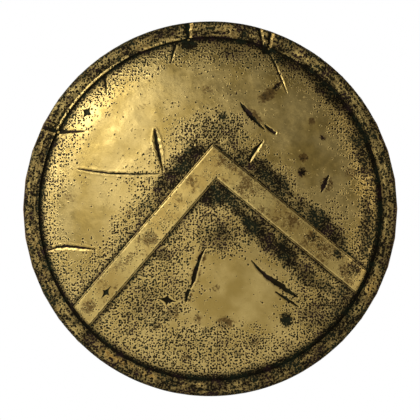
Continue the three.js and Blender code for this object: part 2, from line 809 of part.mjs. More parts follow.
// A cord loop: a wire arch on a round base, held by a nail
function loopSolid(seat) {
  const placing = seatMatrix(seat);
  const wirePath = new THREE.CurvePath();
  const rootY = -loopBaseThickness;
  const left = new THREE.Vector3(-loopHalfSpan, loopLegHeight, 0);
  const right = new THREE.Vector3(loopHalfSpan, loopLegHeight, 0);
  const top = loopLegHeight + loopHalfSpan;
  wirePath.add(new THREE.LineCurve3(new THREE.Vector3(-loopHalfSpan, rootY, 0), left));
  wirePath.add(new THREE.QuadraticBezierCurve3(
    left, new THREE.Vector3(-loopHalfSpan, top, 0), new THREE.Vector3(0, top, 0),
  ));
  wirePath.add(new THREE.QuadraticBezierCurve3(
    new THREE.Vector3(0, top, 0), new THREE.Vector3(loopHalfSpan, top, 0), right,
  ));
  wirePath.add(new THREE.LineCurve3(right, new THREE.Vector3(loopHalfSpan, rootY, 0)));
  const wire = new THREE.ExtrudeGeometry(circleShape(loopWireRadius, loopWireSides), {
    steps: loopSteps, extrudePath: wirePath,
  });
  const base = new THREE.CylinderGeometry(loopBaseRadius, loopBaseRadius, overrun, loopBaseSides);
  const nail = new THREE.CylinderGeometry(
    rivetShankRadius, rivetShankRadius, loopNailLength + loopBaseThickness / 2, rivetSides,
  );
  nail.translate(0, -(loopNailLength - loopBaseThickness / 2) / 2, 0);
  for (const geometry of [wire, base, nail]) geometry.applyMatrix4(placing);
  const basePlate = bowlLayer(plateDepth, plateDepth + loopBaseThickness).intersect(toSolid(base));
  const legs = toSolid(wire).subtract(bowlLayer(-overrun, plateDepth));
  return basePlate.add(legs).add(toSolid(nail));
}

function addLoops() {
  loopSeats().forEach((seat, i) => {
    addPiece(`cord_loop_${i + 1}`, fromSolid(loopSolid(seat)), fittingBronze);
  });
}

addCore();
addLining();
addFace();
addRim();
addChevron();
addArmband();
addBrackets();
addHandgrip();
addLoops();

shield.position.y = -armSeatY;

const aspis = new THREE.Group();
aspis.name = 'aspis';
aspis.add(shield);

export default aspis;
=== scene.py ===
# Hoplite aspis: hammered bronze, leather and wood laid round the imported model.
# Metres, +Z up, the face towards -Y. Marks on the face are placed in the photograph's own
# pixels, y down, so that they can be moved by eye.
from math import asin, atan2, cos, degrees, exp, hypot, pi, radians, sin, sqrt

import bmesh
import bpy
from mathutils import Matrix, Vector, noise


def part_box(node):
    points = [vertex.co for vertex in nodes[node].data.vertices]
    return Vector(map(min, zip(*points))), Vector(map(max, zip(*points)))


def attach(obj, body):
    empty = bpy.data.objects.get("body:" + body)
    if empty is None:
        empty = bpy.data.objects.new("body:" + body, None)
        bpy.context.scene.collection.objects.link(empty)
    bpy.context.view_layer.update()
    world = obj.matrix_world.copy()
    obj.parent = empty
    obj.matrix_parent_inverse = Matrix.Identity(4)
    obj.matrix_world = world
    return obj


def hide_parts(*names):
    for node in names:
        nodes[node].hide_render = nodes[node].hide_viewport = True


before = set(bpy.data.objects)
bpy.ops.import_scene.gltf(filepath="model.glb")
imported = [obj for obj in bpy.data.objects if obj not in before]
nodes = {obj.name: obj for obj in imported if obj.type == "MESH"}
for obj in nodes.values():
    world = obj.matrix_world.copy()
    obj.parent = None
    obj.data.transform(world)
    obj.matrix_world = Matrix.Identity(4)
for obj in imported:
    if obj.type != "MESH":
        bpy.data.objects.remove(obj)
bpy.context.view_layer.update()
mm = 0.001

photo = {"size": 420, "centreX": 210.2, "centreY": 208.8, "pixel": 0.0024}

bowl = {
    "shoulderRadius": 130 * mm,
    "crownSlope": radians(16),
    "footSlope": radians(55),
    "footRadius": 405 * mm,
    "footDepth": 11.3 * mm,     # from the rim's back plane to the foot of the face
}
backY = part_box("rim_band")[1].y
footY = backY - bowl["footDepth"]
shoulderR = bowl["footRadius"] - bowl["shoulderRadius"] * sin(bowl["footSlope"])
shoulderY = footY + bowl["shoulderRadius"] * cos(bowl["footSlope"])
crownRadius = bowl["shoulderRadius"] + shoulderR / sin(bowl["crownSlope"])
crownY = shoulderY + (crownRadius - bowl["shoulderRadius"]) * cos(bowl["crownSlope"])


# Where things are

def toPixel(x, z):
    return photo["centreX"] + x / photo["pixel"], photo["centreY"] - z / photo["pixel"]


def bowlSlope(r):
    if r <= crownRadius * sin(bowl["crownSlope"]):
        return asin(r / crownRadius)
    return asin(min((r - shoulderR) / bowl["shoulderRadius"], 1))


# A point of the bowl at a depth behind the face's outer surface, and the way out of it
def bowlPoint(x, z, depth=0.0):
    r = hypot(x, z)
    slope = bowlSlope(r)
    if slope <= bowl["crownSlope"]:
        radius, middleR, middleY = crownRadius - depth, 0, crownY
    else:
        radius, middleR, middleY = bowl["shoulderRadius"] - depth, shoulderR, shoulderY
    share = (middleR + radius * sin(slope)) / r if r > mm * mm else 1
    return Vector((x * share, middleY - radius * cos(slope), z * share))


def bowlNormal(x, z):
    r = hypot(x, z)
    slope = bowlSlope(r)
    if r < mm * mm:
        return Vector((0, -1, 0))
    return Vector((sin(slope) * x / r, -cos(slope), sin(slope) * z / r))


def rise(low, high, value):
    share = min(max((value - low) / (high - low), 0), 1)
    return share * share * (3 - 2 * share)


def fall(low, high, value):
    return 1 - rise(low, high, value)


# A bell round zero
def hump(off, width):
    return exp(-(off / width) ** 2)


def lumps(x, z, size, seed=0):
    return noise.noise(Vector((x / size, seed * 7.3, z / size)))


# Marks, one to a row: x, y, half length, half width, turn in degrees, then the values named
def marksOf(names, rows):
    return [{"at": row[:2], "size": row[2:4], "turn": radians(row[4]), **dict(zip(names, row[5:]))}
            for row in rows]


# A cut: depth and lip in millimetres, how early its dark fill of grime and painted shadow fills it, and its
# (x, y, width) points
def cutOf(depth, lip, grime, *path):
    xs = [point[0] for point in path]
    ys = [point[1] for point in path]
    return {"path": path, "depth": depth, "lip": lip, "grime": grime,
            "box": (min(xs), max(xs), min(ys), max(ys))}


# How far out a place lies in a mark: 0 at its middle, 1 at its edge, 2 for all that is far off
def ellipseShare(mark, px, py):
    dx = px - mark["at"][0]
    dy = py - mark["at"][1]
    if max(abs(dx), abs(dy)) > 2 * max(mark["size"]):
        return 2.0
    along = dx * cos(mark["turn"]) + dy * sin(mark["turn"])
    across = -dx * sin(mark["turn"]) + dy * cos(mark["turn"])
    return hypot(along / mark["size"][0], across / mark["size"][1])


# The nearest place on a cut: how far off it is, how wide the cut is there, which side it is on, positive on
# the lower right wall that faces the light
def nearCut(cut, px, py):
    best = None
    for (ax, ay, aw), (bx, by, bw) in zip(cut["path"], cut["path"][1:]):
        dx, dy = bx - ax, by - ay
        share = min(max(((px - ax) * dx + (py - ay) * dy) / (dx * dx + dy * dy), 0), 1)
        offX, offY = px - ax - dx * share, py - ay - dy * share
        off = hypot(offX, offY)
        if best is None or off < best[0]:
            best = (off, aw + (bw - aw) * share, (offX + offY) / (1.414 * off + 0.001))
    return best


def nearBox(cut, px, py, margin):
    lowX, highX, lowY, highY = cut["box"]
    return lowX - margin < px < highX + margin and lowY - margin < py < highY + margin


def inCut(cuts, px, py, margin, reach):
    for cut in cuts:
        if nearBox(cut, px, py, margin):
            off, width, _ = nearCut(cut, px, py)
            if off < width / 2 + reach:
                return True
    return False


# Height change in metres, how much grime and painted shadow fill the place, more on the wall away from the
# light, and how bare the lit far wall is, painted bright as a highlight
def carve(cuts, px, py):
    height, deep, bareAndHighlight = 0.0, 0.0, 0.0
    for cut in cuts:
        if not nearBox(cut, px, py, 10):
            continue
        off, width, litSide = nearCut(cut, px, py)
        half = width / 2 * (1 + 0.45 * lumps(px, py, 3.2, 51))
        thin = mm * min(half / 1.2, 1)
        if off < half:
            share = 1 - off / half
            height = min(height, -cut["depth"] * thin * share)
            # painted shadow: the dark fill climbs further up the wall that faces away from the light
            low = 0.34 + 0.26 * litSide - cut["grime"]
            fill = rise(low, low + 0.22, share)
            deep = max(deep, fill * min(cut["depth"] / 1.6, 1))
            # painted highlight: the wall that faces the light is left bare and bright
            bareAndHighlight = max(bareAndHighlight, (1 - fill) * max(litSide, 0))
        if off >= half * 0.8:
            if height >= 0:
                height = max(height, cut["lip"] * thin * hump(off - half - 0.5, 0.8))
            # painted highlight: the lip on the lit side is left bare and bright
            bareAndHighlight = max(bareAndHighlight, hump(off - half, 0.7) * max(litSide, 0))
    return height, deep, bareAndHighlight


# Small star-shaped punctures: their size is the points' reach
punctures = {
    "face": marksOf((), [(87.4, 112.6, 10.5, 7.6, -58), (167.4, 299.2, 15.0, 7.0, 10)]),
    "chevron": marksOf((), [(107.0, 291.6, 13.0, 5.4, -52)]),
}


def carvePunctures(where, px, py):
    height, deep, bareAndHighlight = 0.0, 0.0, 0.0
    for mark in punctures[where]:
        dx, dy = px - mark["at"][0], py - mark["at"][1]
        if max(abs(dx), abs(dy)) > 14:
            continue
        along = abs(dx * cos(mark["turn"]) + dy * sin(mark["turn"])) / mark["size"][0]
        across = abs(-dx * sin(mark["turn"]) + dy * cos(mark["turn"])) / mark["size"][1]
        share = 1 - (sqrt(along) + sqrt(across))
        if share > 0:
            height -= 2.2 * mm * min(share * 3, 1)
            deep = max(deep, min(share * 12, 1))
        elif share > -0.3:
            height += 0.5 * mm * (1 + share / 0.3)
            bareAndHighlight = max(bareAndHighlight, 0.6 * min(3 + share * 10, 1))
    return height, deep, bareAndHighlight


def nearPunctures(px, py, reach=9):
    return any(hypot(px - mark["at"][0], py - mark["at"][1]) < reach
               for mark in punctures["face"] + punctures["chevron"])


# Values that a bronze sheet's mesh carries to its material

channelNames = ("pits", "patina", "black", "brown", "rub")


def addChannels(bm):
    return {name: bm.verts.layers.float.new(name) for name in channelNames}


def carry(vert, channels, **values):
    for name, value in values.items():
        vert[channels[name]] = value


def stainValues(marks, px, py):
    black, brown = 0.0, 0.0
    for mark in marks:
        share = fall(0.25, 1.6, ellipseShare(mark, px, py))
        black = max(black, mark["black"] * share)
        brown = max(brown, mark["brown"] * share)
    return black, brown


# Materials. A tree holds one material's nodes, and place is the object's own coordinates

def setSocket(tree, socket, value):
    if isinstance(value, bpy.types.NodeSocket):
        tree.links.new(value, socket)
    else:
        socket.default_value = value


# Inputs are given by name, or by number as i0, i1 and so on
def addNode(tree, kind, settings=None, **inputs):
    made = tree.nodes.new(kind)
    for name, value in (settings or {}).items():
        setattr(made, name, value)
    for name, value in inputs.items():
        socket = made.inputs[int(name[1:])] if name[1:].isdigit() else made.inputs[name.replace("_", " ")]
        setSocket(tree, socket, value)
    return made


def reckon(tree, operation, *values):
    made = addNode(tree, "ShaderNodeMath", {"operation": operation})
    for socket, value in zip(made.inputs, values):
        setSocket(tree, socket, value)
    return made.outputs[0]


def times(tree, a, b):
    return reckon(tree, "MULTIPLY", a, b)


def timesPlus(tree, a, b, more):
    return reckon(tree, "MULTIPLY_ADD", a, b, more)


def less(tree, a, b):
    return reckon(tree, "SUBTRACT", a, b)


def most(tree, a, b):
    return reckon(tree, "MAXIMUM", a, b)


def ramp(tree, value, fromLow, fromHigh, toLow=0.0, toHigh=1.0):
    return addNode(tree, "ShaderNodeMapRange", {"interpolation_type": "SMOOTHSTEP"}, Value=value,
                   From_Min=fromLow, From_Max=fromHigh, To_Min=toLow, To_Max=toHigh).outputs[0]


def mixColour(tree, factor, a, b):
    return addNode(tree, "ShaderNodeMix", {"data_type": "RGBA"}, i0=factor, i6=a, i7=b).outputs[2]


def mixValue(tree, factor, a, b):
    return addNode(tree, "ShaderNodeMix", {"data_type": "FLOAT"}, i0=factor, i2=a, i3=b).outputs[0]


def noiseNode(tree, place, scale, detail=2.0, rough=0.5):
    return addNode(tree, "ShaderNodeTexNoise", None, Vector=place, Scale=scale, Detail=detail,
                   Roughness=rough)


def cloud(tree, place, *settings):
    return noiseNode(tree, place, *settings).outputs["Fac"]


def carried(tree, name):
    return addNode(tree, "ShaderNodeAttribute", {"attribute_name": name}).outputs["Fac"]


def newMaterial(name):
    material = bpy.data.materials.new(name)
    material.use_nodes = True
    tree = material.node_tree
    return material, tree, addNode(tree, "ShaderNodeTexCoord").outputs["Object"]


# Sets the shader's own inputs. The relief is a strength, a distance and a height
def setShader(tree, relief=None, **inputs):
    shader = tree.nodes["Principled BSDF"]
    for name, value in inputs.items():
        setSocket(tree, shader.inputs[name.replace("_", " ")], value)
    if relief:
        bump = addNode(tree, "ShaderNodeBump", None, Strength=relief[0], Distance=relief[1], Height=relief[2])
        setSocket(tree, shader.inputs["Normal"], bump.outputs[0])


# One layer of punched pits, and the lips round them: cells of a size, each pit's width from how
# thick and dark they lie. A flat layer is laid out as seen from the front
def pitLayer(tree, place, size, density, patina, width, flat):
    if flat:
        apart = addNode(tree, "ShaderNodeSeparateXYZ", None, Vector=place)
        place = addNode(tree, "ShaderNodeCombineXYZ", None, X=apart.outputs[0], Y=apart.outputs[2]).outputs[0]
    settings = {"voronoi_dimensions": "2D" if flat else "3D"}
    cells = addNode(tree, "ShaderNodeTexVoronoi", settings, Vector=place, Scale=1 / size, Randomness=0.82)
    chance = addNode(tree, "ShaderNodeSeparateXYZ", None, Vector=cells.outputs["Color"])
    kept = ramp(tree, less(tree, density, chance.outputs[0]), -0.02, 0.10)
    own = timesPlus(tree, chance.outputs[1], width * 0.6, width * 0.62)
    reach = times(tree, kept, timesPlus(tree, patina, 0.10, own))
    off = cells.outputs["Distance"]
    lip = ramp(tree, off, times(tree, reach, 1.8), times(tree, reach, 1.2))
    return ramp(tree, off, reach, times(tree, reach, 0.62)), lip


patinaTints = {
    "black": (0.008, 0.007, 0.004, 1),
    "green": (0.011, 0.016, 0.009, 1),
    "violet": (0.020, 0.011, 0.011, 1),
    "brown": (0.085, 0.042, 0.012, 1),
    "grime": (0.026, 0.018, 0.008, 1),
}
# A bronze's pits are layers: the cells' size, a pit's width in its cell, its share of the thickness
bronzes = {
    "face": {
        "bright": (0.55, 0.408, 0.146, 1),
        "dull": (0.38, 0.265, 0.072, 1),
        "flat": True,
        "pits": [(0.0069, 0.385, 1.0), (0.0052, 0.34, 0.75)],
    },
    "rim": {
        "bright": (0.47, 0.35, 0.120, 1),
        "dull": (0.27, 0.172, 0.050, 1),
        "rubbed": (0.60, 0.35, 0.075, 1),
        "flat": False,
        "pits": [(0.0072, 0.42, 1.0), (0.0054, 0.36, 0.75)],
    },
    "chevron": {
        "bright": (0.575, 0.432, 0.148, 1),
        "dull": (0.40, 0.275, 0.078, 1),
        "flat": True,
        "pits": [(0.0070, 0.30, 1.0), (0.0045, 0.30, 1.0)],
    },
}


def wornBronze(name):
    bronze = bronzes[name]
    material, tree, place = newMaterial("worn_bronze_" + name)
    pits, patina, black, brown, rub = [carried(tree, channel) for channel in channelNames]
    nudge = addNode(tree, "ShaderNodeVectorMath", {"operation": "SUBTRACT"},
                    i0=noiseNode(tree, place, 260.0, 1.0).outputs["Color"], i1=(0.5, 0.5, 0.5))
    nudged = addNode(tree, "ShaderNodeVectorMath", {"operation": "MULTIPLY_ADD"},
                     i0=nudge.outputs[0], i1=(0.003, 0.003, 0.003), i2=place).outputs[0]

    # round pits, then the worm-like hollows where they run together, then soft grime, which also lays down
    # the painted shade that the patina channel carries
    dots, lips = 0.0, 0.0
    for size, width, share in bronze["pits"]:
        dot, lip = pitLayer(tree, nudged, size, times(tree, pits, share), patina, width, bronze["flat"])
        dots = most(tree, dots, dot)
        lips = most(tree, lips, lip)
    wormy = ramp(tree, timesPlus(tree, patina, 0.44, cloud(tree, nudged, 230.0, 2.0, 0.55)), 0.87, 0.96)
    soilAndShade = timesPlus(tree, patina, 0.90, times(tree, cloud(tree, place, 70.0, 4.0, 0.62), 0.62))
    grimeAndShade = ramp(tree, soilAndShade, 0.48, 1.26, 0.0, 0.86)
    blotch = cloud(tree, place, 170.0, 3.0, 0.7)
    blacked = ramp(tree, timesPlus(tree, black, 0.75, blotch), 0.82, 0.98)
    dark = most(tree, most(tree, dots, wormy), blacked)

    # the metal under it: broad rubbed areas, fine mottling, brown stains, rust, and painted highlights
    broad = ramp(tree, cloud(tree, place, 11.0, 3.0, 0.55), 0.36, 0.64)
    metal = mixColour(tree, broad, bronze["dull"], bronze["bright"])
    fine = cloud(tree, place, 420.0, 3.0, 0.6)
    metal = mixColour(tree, ramp(tree, fine, 0.35, 0.75, 0.0, 0.35), metal, bronze["dull"])
    browned = ramp(tree, timesPlus(tree, brown, 0.62, blotch), 0.72, 0.98)
    metal = mixColour(tree, times(tree, browned, 0.85), metal, patinaTints["brown"])
    # painted highlight: a brighter tint laid on the lips round the pits and, through the rub channel, on the
    # lit walls of cuts and on the chevron's bevel tops, which are partly wear; on the rim the rub channel
    # lays rust
    highlightTint = [min(1.30 * value, 1) for value in bronze["bright"][:3]] + [1]
    metal = mixColour(tree, times(tree, lips, 0.62), metal, highlightTint)
    metal = mixColour(tree, rub, metal, bronze.get("rubbed", highlightTint))
    metal = mixColour(tree, times(tree, grimeAndShade, mixValue(tree, lips, 1.0, 0.80)), metal, patinaTints["grime"])
    tintCloud = cloud(tree, place, 26.0)
    crust = mixColour(tree, ramp(tree, tintCloud, 0.50, 0.62), patinaTints["black"], patinaTints["green"])
    crust = mixColour(tree, ramp(tree, tintCloud, 0.46, 0.36), crust, patinaTints["violet"])
    cover = most(tree, dark, most(tree, times(tree, browned, 0.6), grimeAndShade))
    smear = ramp(tree, cloud(tree, place, 60.0, 3.0, 0.6), 0.3, 0.7, 0.36, 0.48)

    # relief: pits go in, the hammer's small facets and scratches lie over all
    hollow = most(tree, dots, times(tree, wormy, 0.7))
    height = timesPlus(tree, cloud(tree, place, 95.0, 1.0), 0.5, times(tree, fine, 0.10))
    height = less(tree, timesPlus(tree, lips, 0.35, height), hollow)
    setShader(tree, (1.0, 0.0009, height), Base_Color=mixColour(tree, times(tree, dark, 0.978), metal, crust),
              Metallic=mixValue(tree, cover, 0.92, 0.80), Roughness=mixValue(tree, cover, smear, 0.62),
              Specular_IOR_Level=mixValue(tree, cover, 0.40, 0.08))
    return material


# Poplar: grain along the planks, blotches and a few cracks
def plainWood():
    material, tree, place = newMaterial("poplar_wood")
    bent = mixColour(tree, 0.012, place, noiseNode(tree, place, 9.0).outputs["Color"])
    grain = addNode(tree, "ShaderNodeMapping", None, Vector=bent, Scale=(1.0, 16.0, 16.0)).outputs[0]
    streaks = cloud(tree, grain, 20.0, 5.0, 0.62)
    blotch = cloud(tree, place, 26.0, 3.0, 0.6)
    streaked = ramp(tree, streaks, 0.34, 0.66)
    colour = mixColour(tree, streaked, (0.105, 0.055, 0.022, 1), (0.33, 0.20, 0.092, 1))
    colour = mixColour(tree, ramp(tree, blotch, 0.42, 0.70, 0.0, 0.55), colour, (0.085, 0.048, 0.022, 1))
    cracks = ramp(tree, cloud(tree, grain, 62.0), 0.30, 0.24)
    setShader(tree, (0.8, 0.0006, less(tree, streaks, cracks)), Specular_IOR_Level=0.3,
              Base_Color=mixColour(tree, cracks, colour, (0.018, 0.010, 0.005, 1)),
              Roughness=ramp(tree, streaks, 0.3, 0.7, 0.60, 0.78))
    return material


# Leather: pebbled grain, fine creases, a dyed body that has darkened in places and been rubbed in others
def leather(name, deepTint, bodyTint, rubbedTint):
    material, tree, place = newMaterial(name)
    bent = mixColour(tree, 0.030, place, noiseNode(tree, place, 34.0, 3.0).outputs["Color"])
    pebbles = addNode(tree, "ShaderNodeTexVoronoi", None, Vector=place, Scale=640.0).outputs["Distance"]
    folds = addNode(tree, "ShaderNodeTexVoronoi", {"feature": "DISTANCE_TO_EDGE"}, Vector=bent, Scale=88.0)
    creased = ramp(tree, cloud(tree, place, 19.0, 3.0, 0.6), 0.48, 0.66)
    crease = times(tree, ramp(tree, folds.outputs["Distance"], 0.07, 0.0), creased)
    mottle = cloud(tree, place, 8.0, 6.0, 0.60)
    fine = cloud(tree, place, 150.0, 4.0, 0.68)
    body = mixColour(tree, ramp(tree, mottle, 0.34, 0.62), deepTint, bodyTint)
    scuffed = timesPlus(tree, carried(tree, "rub"), 0.22, timesPlus(tree, fine, 0.55, mottle))
    body = mixColour(tree, ramp(tree, scuffed, 0.80, 1.02, 0.0, 0.75), body, rubbedTint)
    soiled = most(tree, times(tree, crease, 0.38), carried(tree, "grime"))
    soiled = times(tree, soiled, ramp(tree, fine, 0.15, 0.60, 0.55, 1.0))
    dark = [0.22 * value for value in deepTint[:3]] + [1]
    height = timesPlus(tree, pebbles, 0.45, times(tree, fine, 0.35))
    height = less(tree, height, times(tree, crease, 0.55))
    setShader(tree, (0.9, 0.0008, height), Base_Color=mixColour(tree, soiled, body, dark),
              Roughness=ramp(tree, scuffed, 0.65, 1.0, 0.46, 0.74), Specular_IOR_Level=0.34)
    return material


# The fittings: handled bronze, browned where hands don't reach, with a few small pits
def fittingMetal():
    material, tree, place = newMaterial("fitting_bronze")
    grime = carried(tree, "grime")
    broad = ramp(tree, cloud(tree, place, 22.0, 3.0, 0.55), 0.36, 0.64)
    fine = cloud(tree, place, 460.0, 3.0, 0.62)
    tarnish = cloud(tree, place, 58.0, 6.0, 0.68)
    metal = mixColour(tree, broad, (0.33, 0.215, 0.075, 1), (0.50, 0.355, 0.135, 1))
    browned = ramp(tree, timesPlus(tree, grime, 0.40, tarnish), 0.48, 0.80, 0.0, 0.92)
    metal = mixColour(tree, browned, metal, (0.095, 0.050, 0.018, 1))
    density = ramp(tree, tarnish, 0.35, 0.75, 0.05, 0.55)
    specks, _ = pitLayer(tree, place, 0.0046, density, tarnish, 0.26, False)
    dark = most(tree, specks, ramp(tree, timesPlus(tree, grime, 0.62, fine), 0.78, 1.06))
    height = timesPlus(tree, cloud(tree, place, 105.0, 1.0), 0.5, times(tree, fine, 0.12))
    height = less(tree, height, times(tree, specks, 0.7))
    setShader(tree, (0.7, 0.0007, height), Metallic=mixValue(tree, dark, 0.94, 0.75),
              Base_Color=mixColour(tree, times(tree, dark, 0.93), metal, patinaTints["black"]),
              Roughness=mixValue(tree, most(tree, browned, dark), 0.30, 0.58))
    return material


def threadMaterial():
    material, tree, place = newMaterial("stitch_thread")
    twist = addNode(tree, "ShaderNodeTexWave", None, Vector=place, Scale=420.0, Distortion=2.0).outputs["Fac"]
    colour = mixColour(tree, twist, (0.20, 0.145, 0.08, 1), (0.46, 0.36, 0.22, 1))
    soiled = ramp(tree, cloud(tree, place, 40.0, 3.0, 0.6), 0.45, 0.70, 0.0, 0.7)
    setShader(tree, (0.5, 0.0002, twist), Roughness=0.8,
              Base_Color=mixColour(tree, soiled, colour, (0.085, 0.055, 0.030, 1)))
    return material


poplarWood = plainWood()
liningLeather = leather("lining_leather", (0.050, 0.021, 0.008, 1), (0.125, 0.054, 0.020, 1),
                        (0.25, 0.135, 0.060, 1))
gripLeather = leather("grip_leather", (0.018, 0.009, 0.005, 1), (0.055, 0.024, 0.011, 1),
                      (0.15, 0.075, 0.035, 1))
fittingBronze = fittingMetal()
stitchThread = threadMaterial()


# Meshes

def addObject(name, bm, material, replaced=None, body="shield"):
    bmesh.ops.recalc_face_normals(bm, faces=bm.faces)
    mesh = bpy.data.meshes.new(name)
    bm.to_mesh(mesh)
    bm.free()
    for polygon in mesh.polygons:
        polygon.use_smooth = True
    mesh.materials.append(material)
    piece = bpy.data.objects.new(name, mesh)
    bpy.context.scene.collection.objects.link(piece)
    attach(piece, body)
    if replaced:
        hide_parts(replaced)
    return piece


# A square grid drawn onto a disc, rings of the square becoming rings of the disc
def ontoDisc(vert, radius):
    a, b = vert.co.x, vert.co.y
    if max(abs(a), abs(b)) < 1e-9:
        r, angle = 0, 0
    elif a * a > b * b:
        r, angle = a, (pi / 4) * (b / a)
    else:
        r, angle = b, pi / 2 - (pi / 4) * (a / b)
    vert.co = (radius * r * cos(angle), 0, radius * r * sin(angle))


def discGrid(cells, radius):
    bm = bmesh.new()
    bmesh.ops.create_grid(bm, x_segments=cells, y_segments=cells, size=1)
    for vert in bm.verts:
        ontoDisc(vert, radius)
    return bm


def refine(bm, near):
    close = {vert for vert in bm.verts if near(vert.co)}
    edges = [edge for edge in bm.edges if close.issuperset(edge.verts)]
    bmesh.ops.subdivide_edges(bm, edges=edges, cuts=1, use_grid_fill=True, use_single_edge=False)


def joinTo(bm, other):
    mesh = bpy.data.meshes.new("joined")
    other.to_mesh(mesh)
    other.free()
    bm.from_mesh(mesh)
    bpy.data.meshes.remove(mesh)


# A plain back on a deeper curve of the bowl, joined to the open edge of the front
def addBack(bm, rings, depth):
    back = discGrid(2 * rings, bowl["footRadius"])
    for vert in back.verts:
        vert.co = bowlPoint(vert.co.x, vert.co.z, depth)
    joinTo(bm, back)
    bmesh.ops.bridge_loops(bm, edges=openEdges(bm))


def openEdges(bm):
    return [edge for edge in bm.edges if edge.is_boundary]


def extrudeEdges(bm, edges):
    made = bmesh.ops.extrude_edge_only(bm, edges=edges)["geom"]
    edges = [part for part in made if isinstance(part, bmesh.types.BMEdge)]
    return edges, {vert for edge in edges for vert in edge.verts}


# A line of points turned all the way round an axis
def turned(points, closed, steps, middle=(0, 0, 0), axis=(0, 1, 0)):
    bm = bmesh.new()
    verts = [bm.verts.new(point) for point in points]
    after = verts[1:] + (verts[:1] if closed else [])
    edges = [bm.edges.new(pair) for pair in zip(verts, after)]
    bmesh.ops.spin(bm, geom=verts + edges, cent=middle, axis=axis, angle=2 * pi, steps=steps,
                   use_merge=True, use_duplicate=False)
    return bm


def roundEdges(bm, size, segments=2, sharp=radians(50)):
    bmesh.ops.recalc_face_normals(bm, faces=bm.faces)
    edges = [edge for edge in bm.edges if edge.calc_face_angle(0) > sharp]
    bmesh.ops.bevel(bm, geom=edges, offset=size, segments=segments, profile=0.5, affect="EDGES", material=-1)


# Gives an open sheet its thickness, away from the side that faces the bearer, and rounds its edges
def thicken(bm, thick, edgeRound):
    bm.normal_update()
    if sum(face.normal.y * face.calc_area() for face in bm.faces) < 0:
        bmesh.ops.reverse_faces(bm, faces=bm.faces[:])
    bmesh.ops.solidify(bm, geom=bm.faces[:], thickness=-thick)
    roundEdges(bm, edgeRound)


# A round bar drawn along a line of places, with a radius at each, closed at both ends
def drawBar(bm, places, radii, sides):
    turn = bm.verts.layers.int.get("turn") or bm.verts.layers.int.new("turn")
    ring = bmesh.ops.create_circle(bm, cap_ends=True, segments=sides, radius=1)["verts"]
    for step, vert in enumerate(ring):
        vert[turn] = step
    edges = [edge for edge in bm.edges if edge.verts[0] in ring and edge.verts[1] in ring]
    ahead = (places[1] - places[0]).normalized()
    side = ahead.orthogonal().normalized()
    for step, (place, radius) in enumerate(zip(places, radii)):
        if step:
            edges, ring = extrudeEdges(bm, edges)
            newAhead = (places[min(step + 1, len(places) - 1)] - places[step - 1]).normalized()
            side.rotate(ahead.rotation_difference(newAhead))
            ahead = newAhead
        up = ahead.cross(side)
        for vert in ring:
            angle = 2 * pi * vert[turn] / sides
            vert.co = place + radius * (cos(angle) * side + sin(angle) * up)
    bmesh.ops.holes_fill(bm, edges=edges, sides=0)


# The chevron's place, which the face needs too: apex, tilt and arms in metres

chevron = {
    "apex": (0.0065, 0.1536),
    "tilt": radians(5),
    "halfAngle": radians(45.75),
    "width": 60 * mm,
    "reach": 402.5 * mm,
    "seat": 0.3 * mm,
    "top": 3.2 * mm,
    "sheet": 1.0 * mm,
    "underside": 0.6 * mm,
    "across": 16,
    "along": 190,
    # height across the plate: distance in from an edge, share of the full height
    "edge": [(0.0, 0.10), (0.4 * mm, 0.36), (2.2 * mm, 0.40), (3.0 * mm, 0.55), (4.8 * mm, 0.97),
             (6.4 * mm, 1.0)],
}


# Distance in from the outer edge of the nearer arm
def chevronAcross(x, z):
    point = Vector((x - chevron["apex"][0], z - chevron["apex"][1]))
    point.rotate(Matrix.Rotation(-chevron["tilt"], 2))
    half = chevron["halfAngle"]
    return -point.y * sin(half) - abs(point.x) * cos(half)


# The face: a fine front laid out on rings, a plain back, closed at the flange

face = {
    "rings": 108,
    "hammer": [(0.9, 85, 1), (0.5, 42, 2), (0.16, 17, 3)],     # height and size in millimetres, seed
    "punch": [(7.5, 41), (6.0, 42)],                           # size in millimetres, seed
    "punchDepth": 0.30 * mm,
    "deepest": 2.9 * mm,
    "flange": (406.2, 410.5, 419, 430, 442, 442),
    "flangeSheet": 0.6 * mm,
    "backDepth": 3.4 * mm,
    "backRings": 16,
}

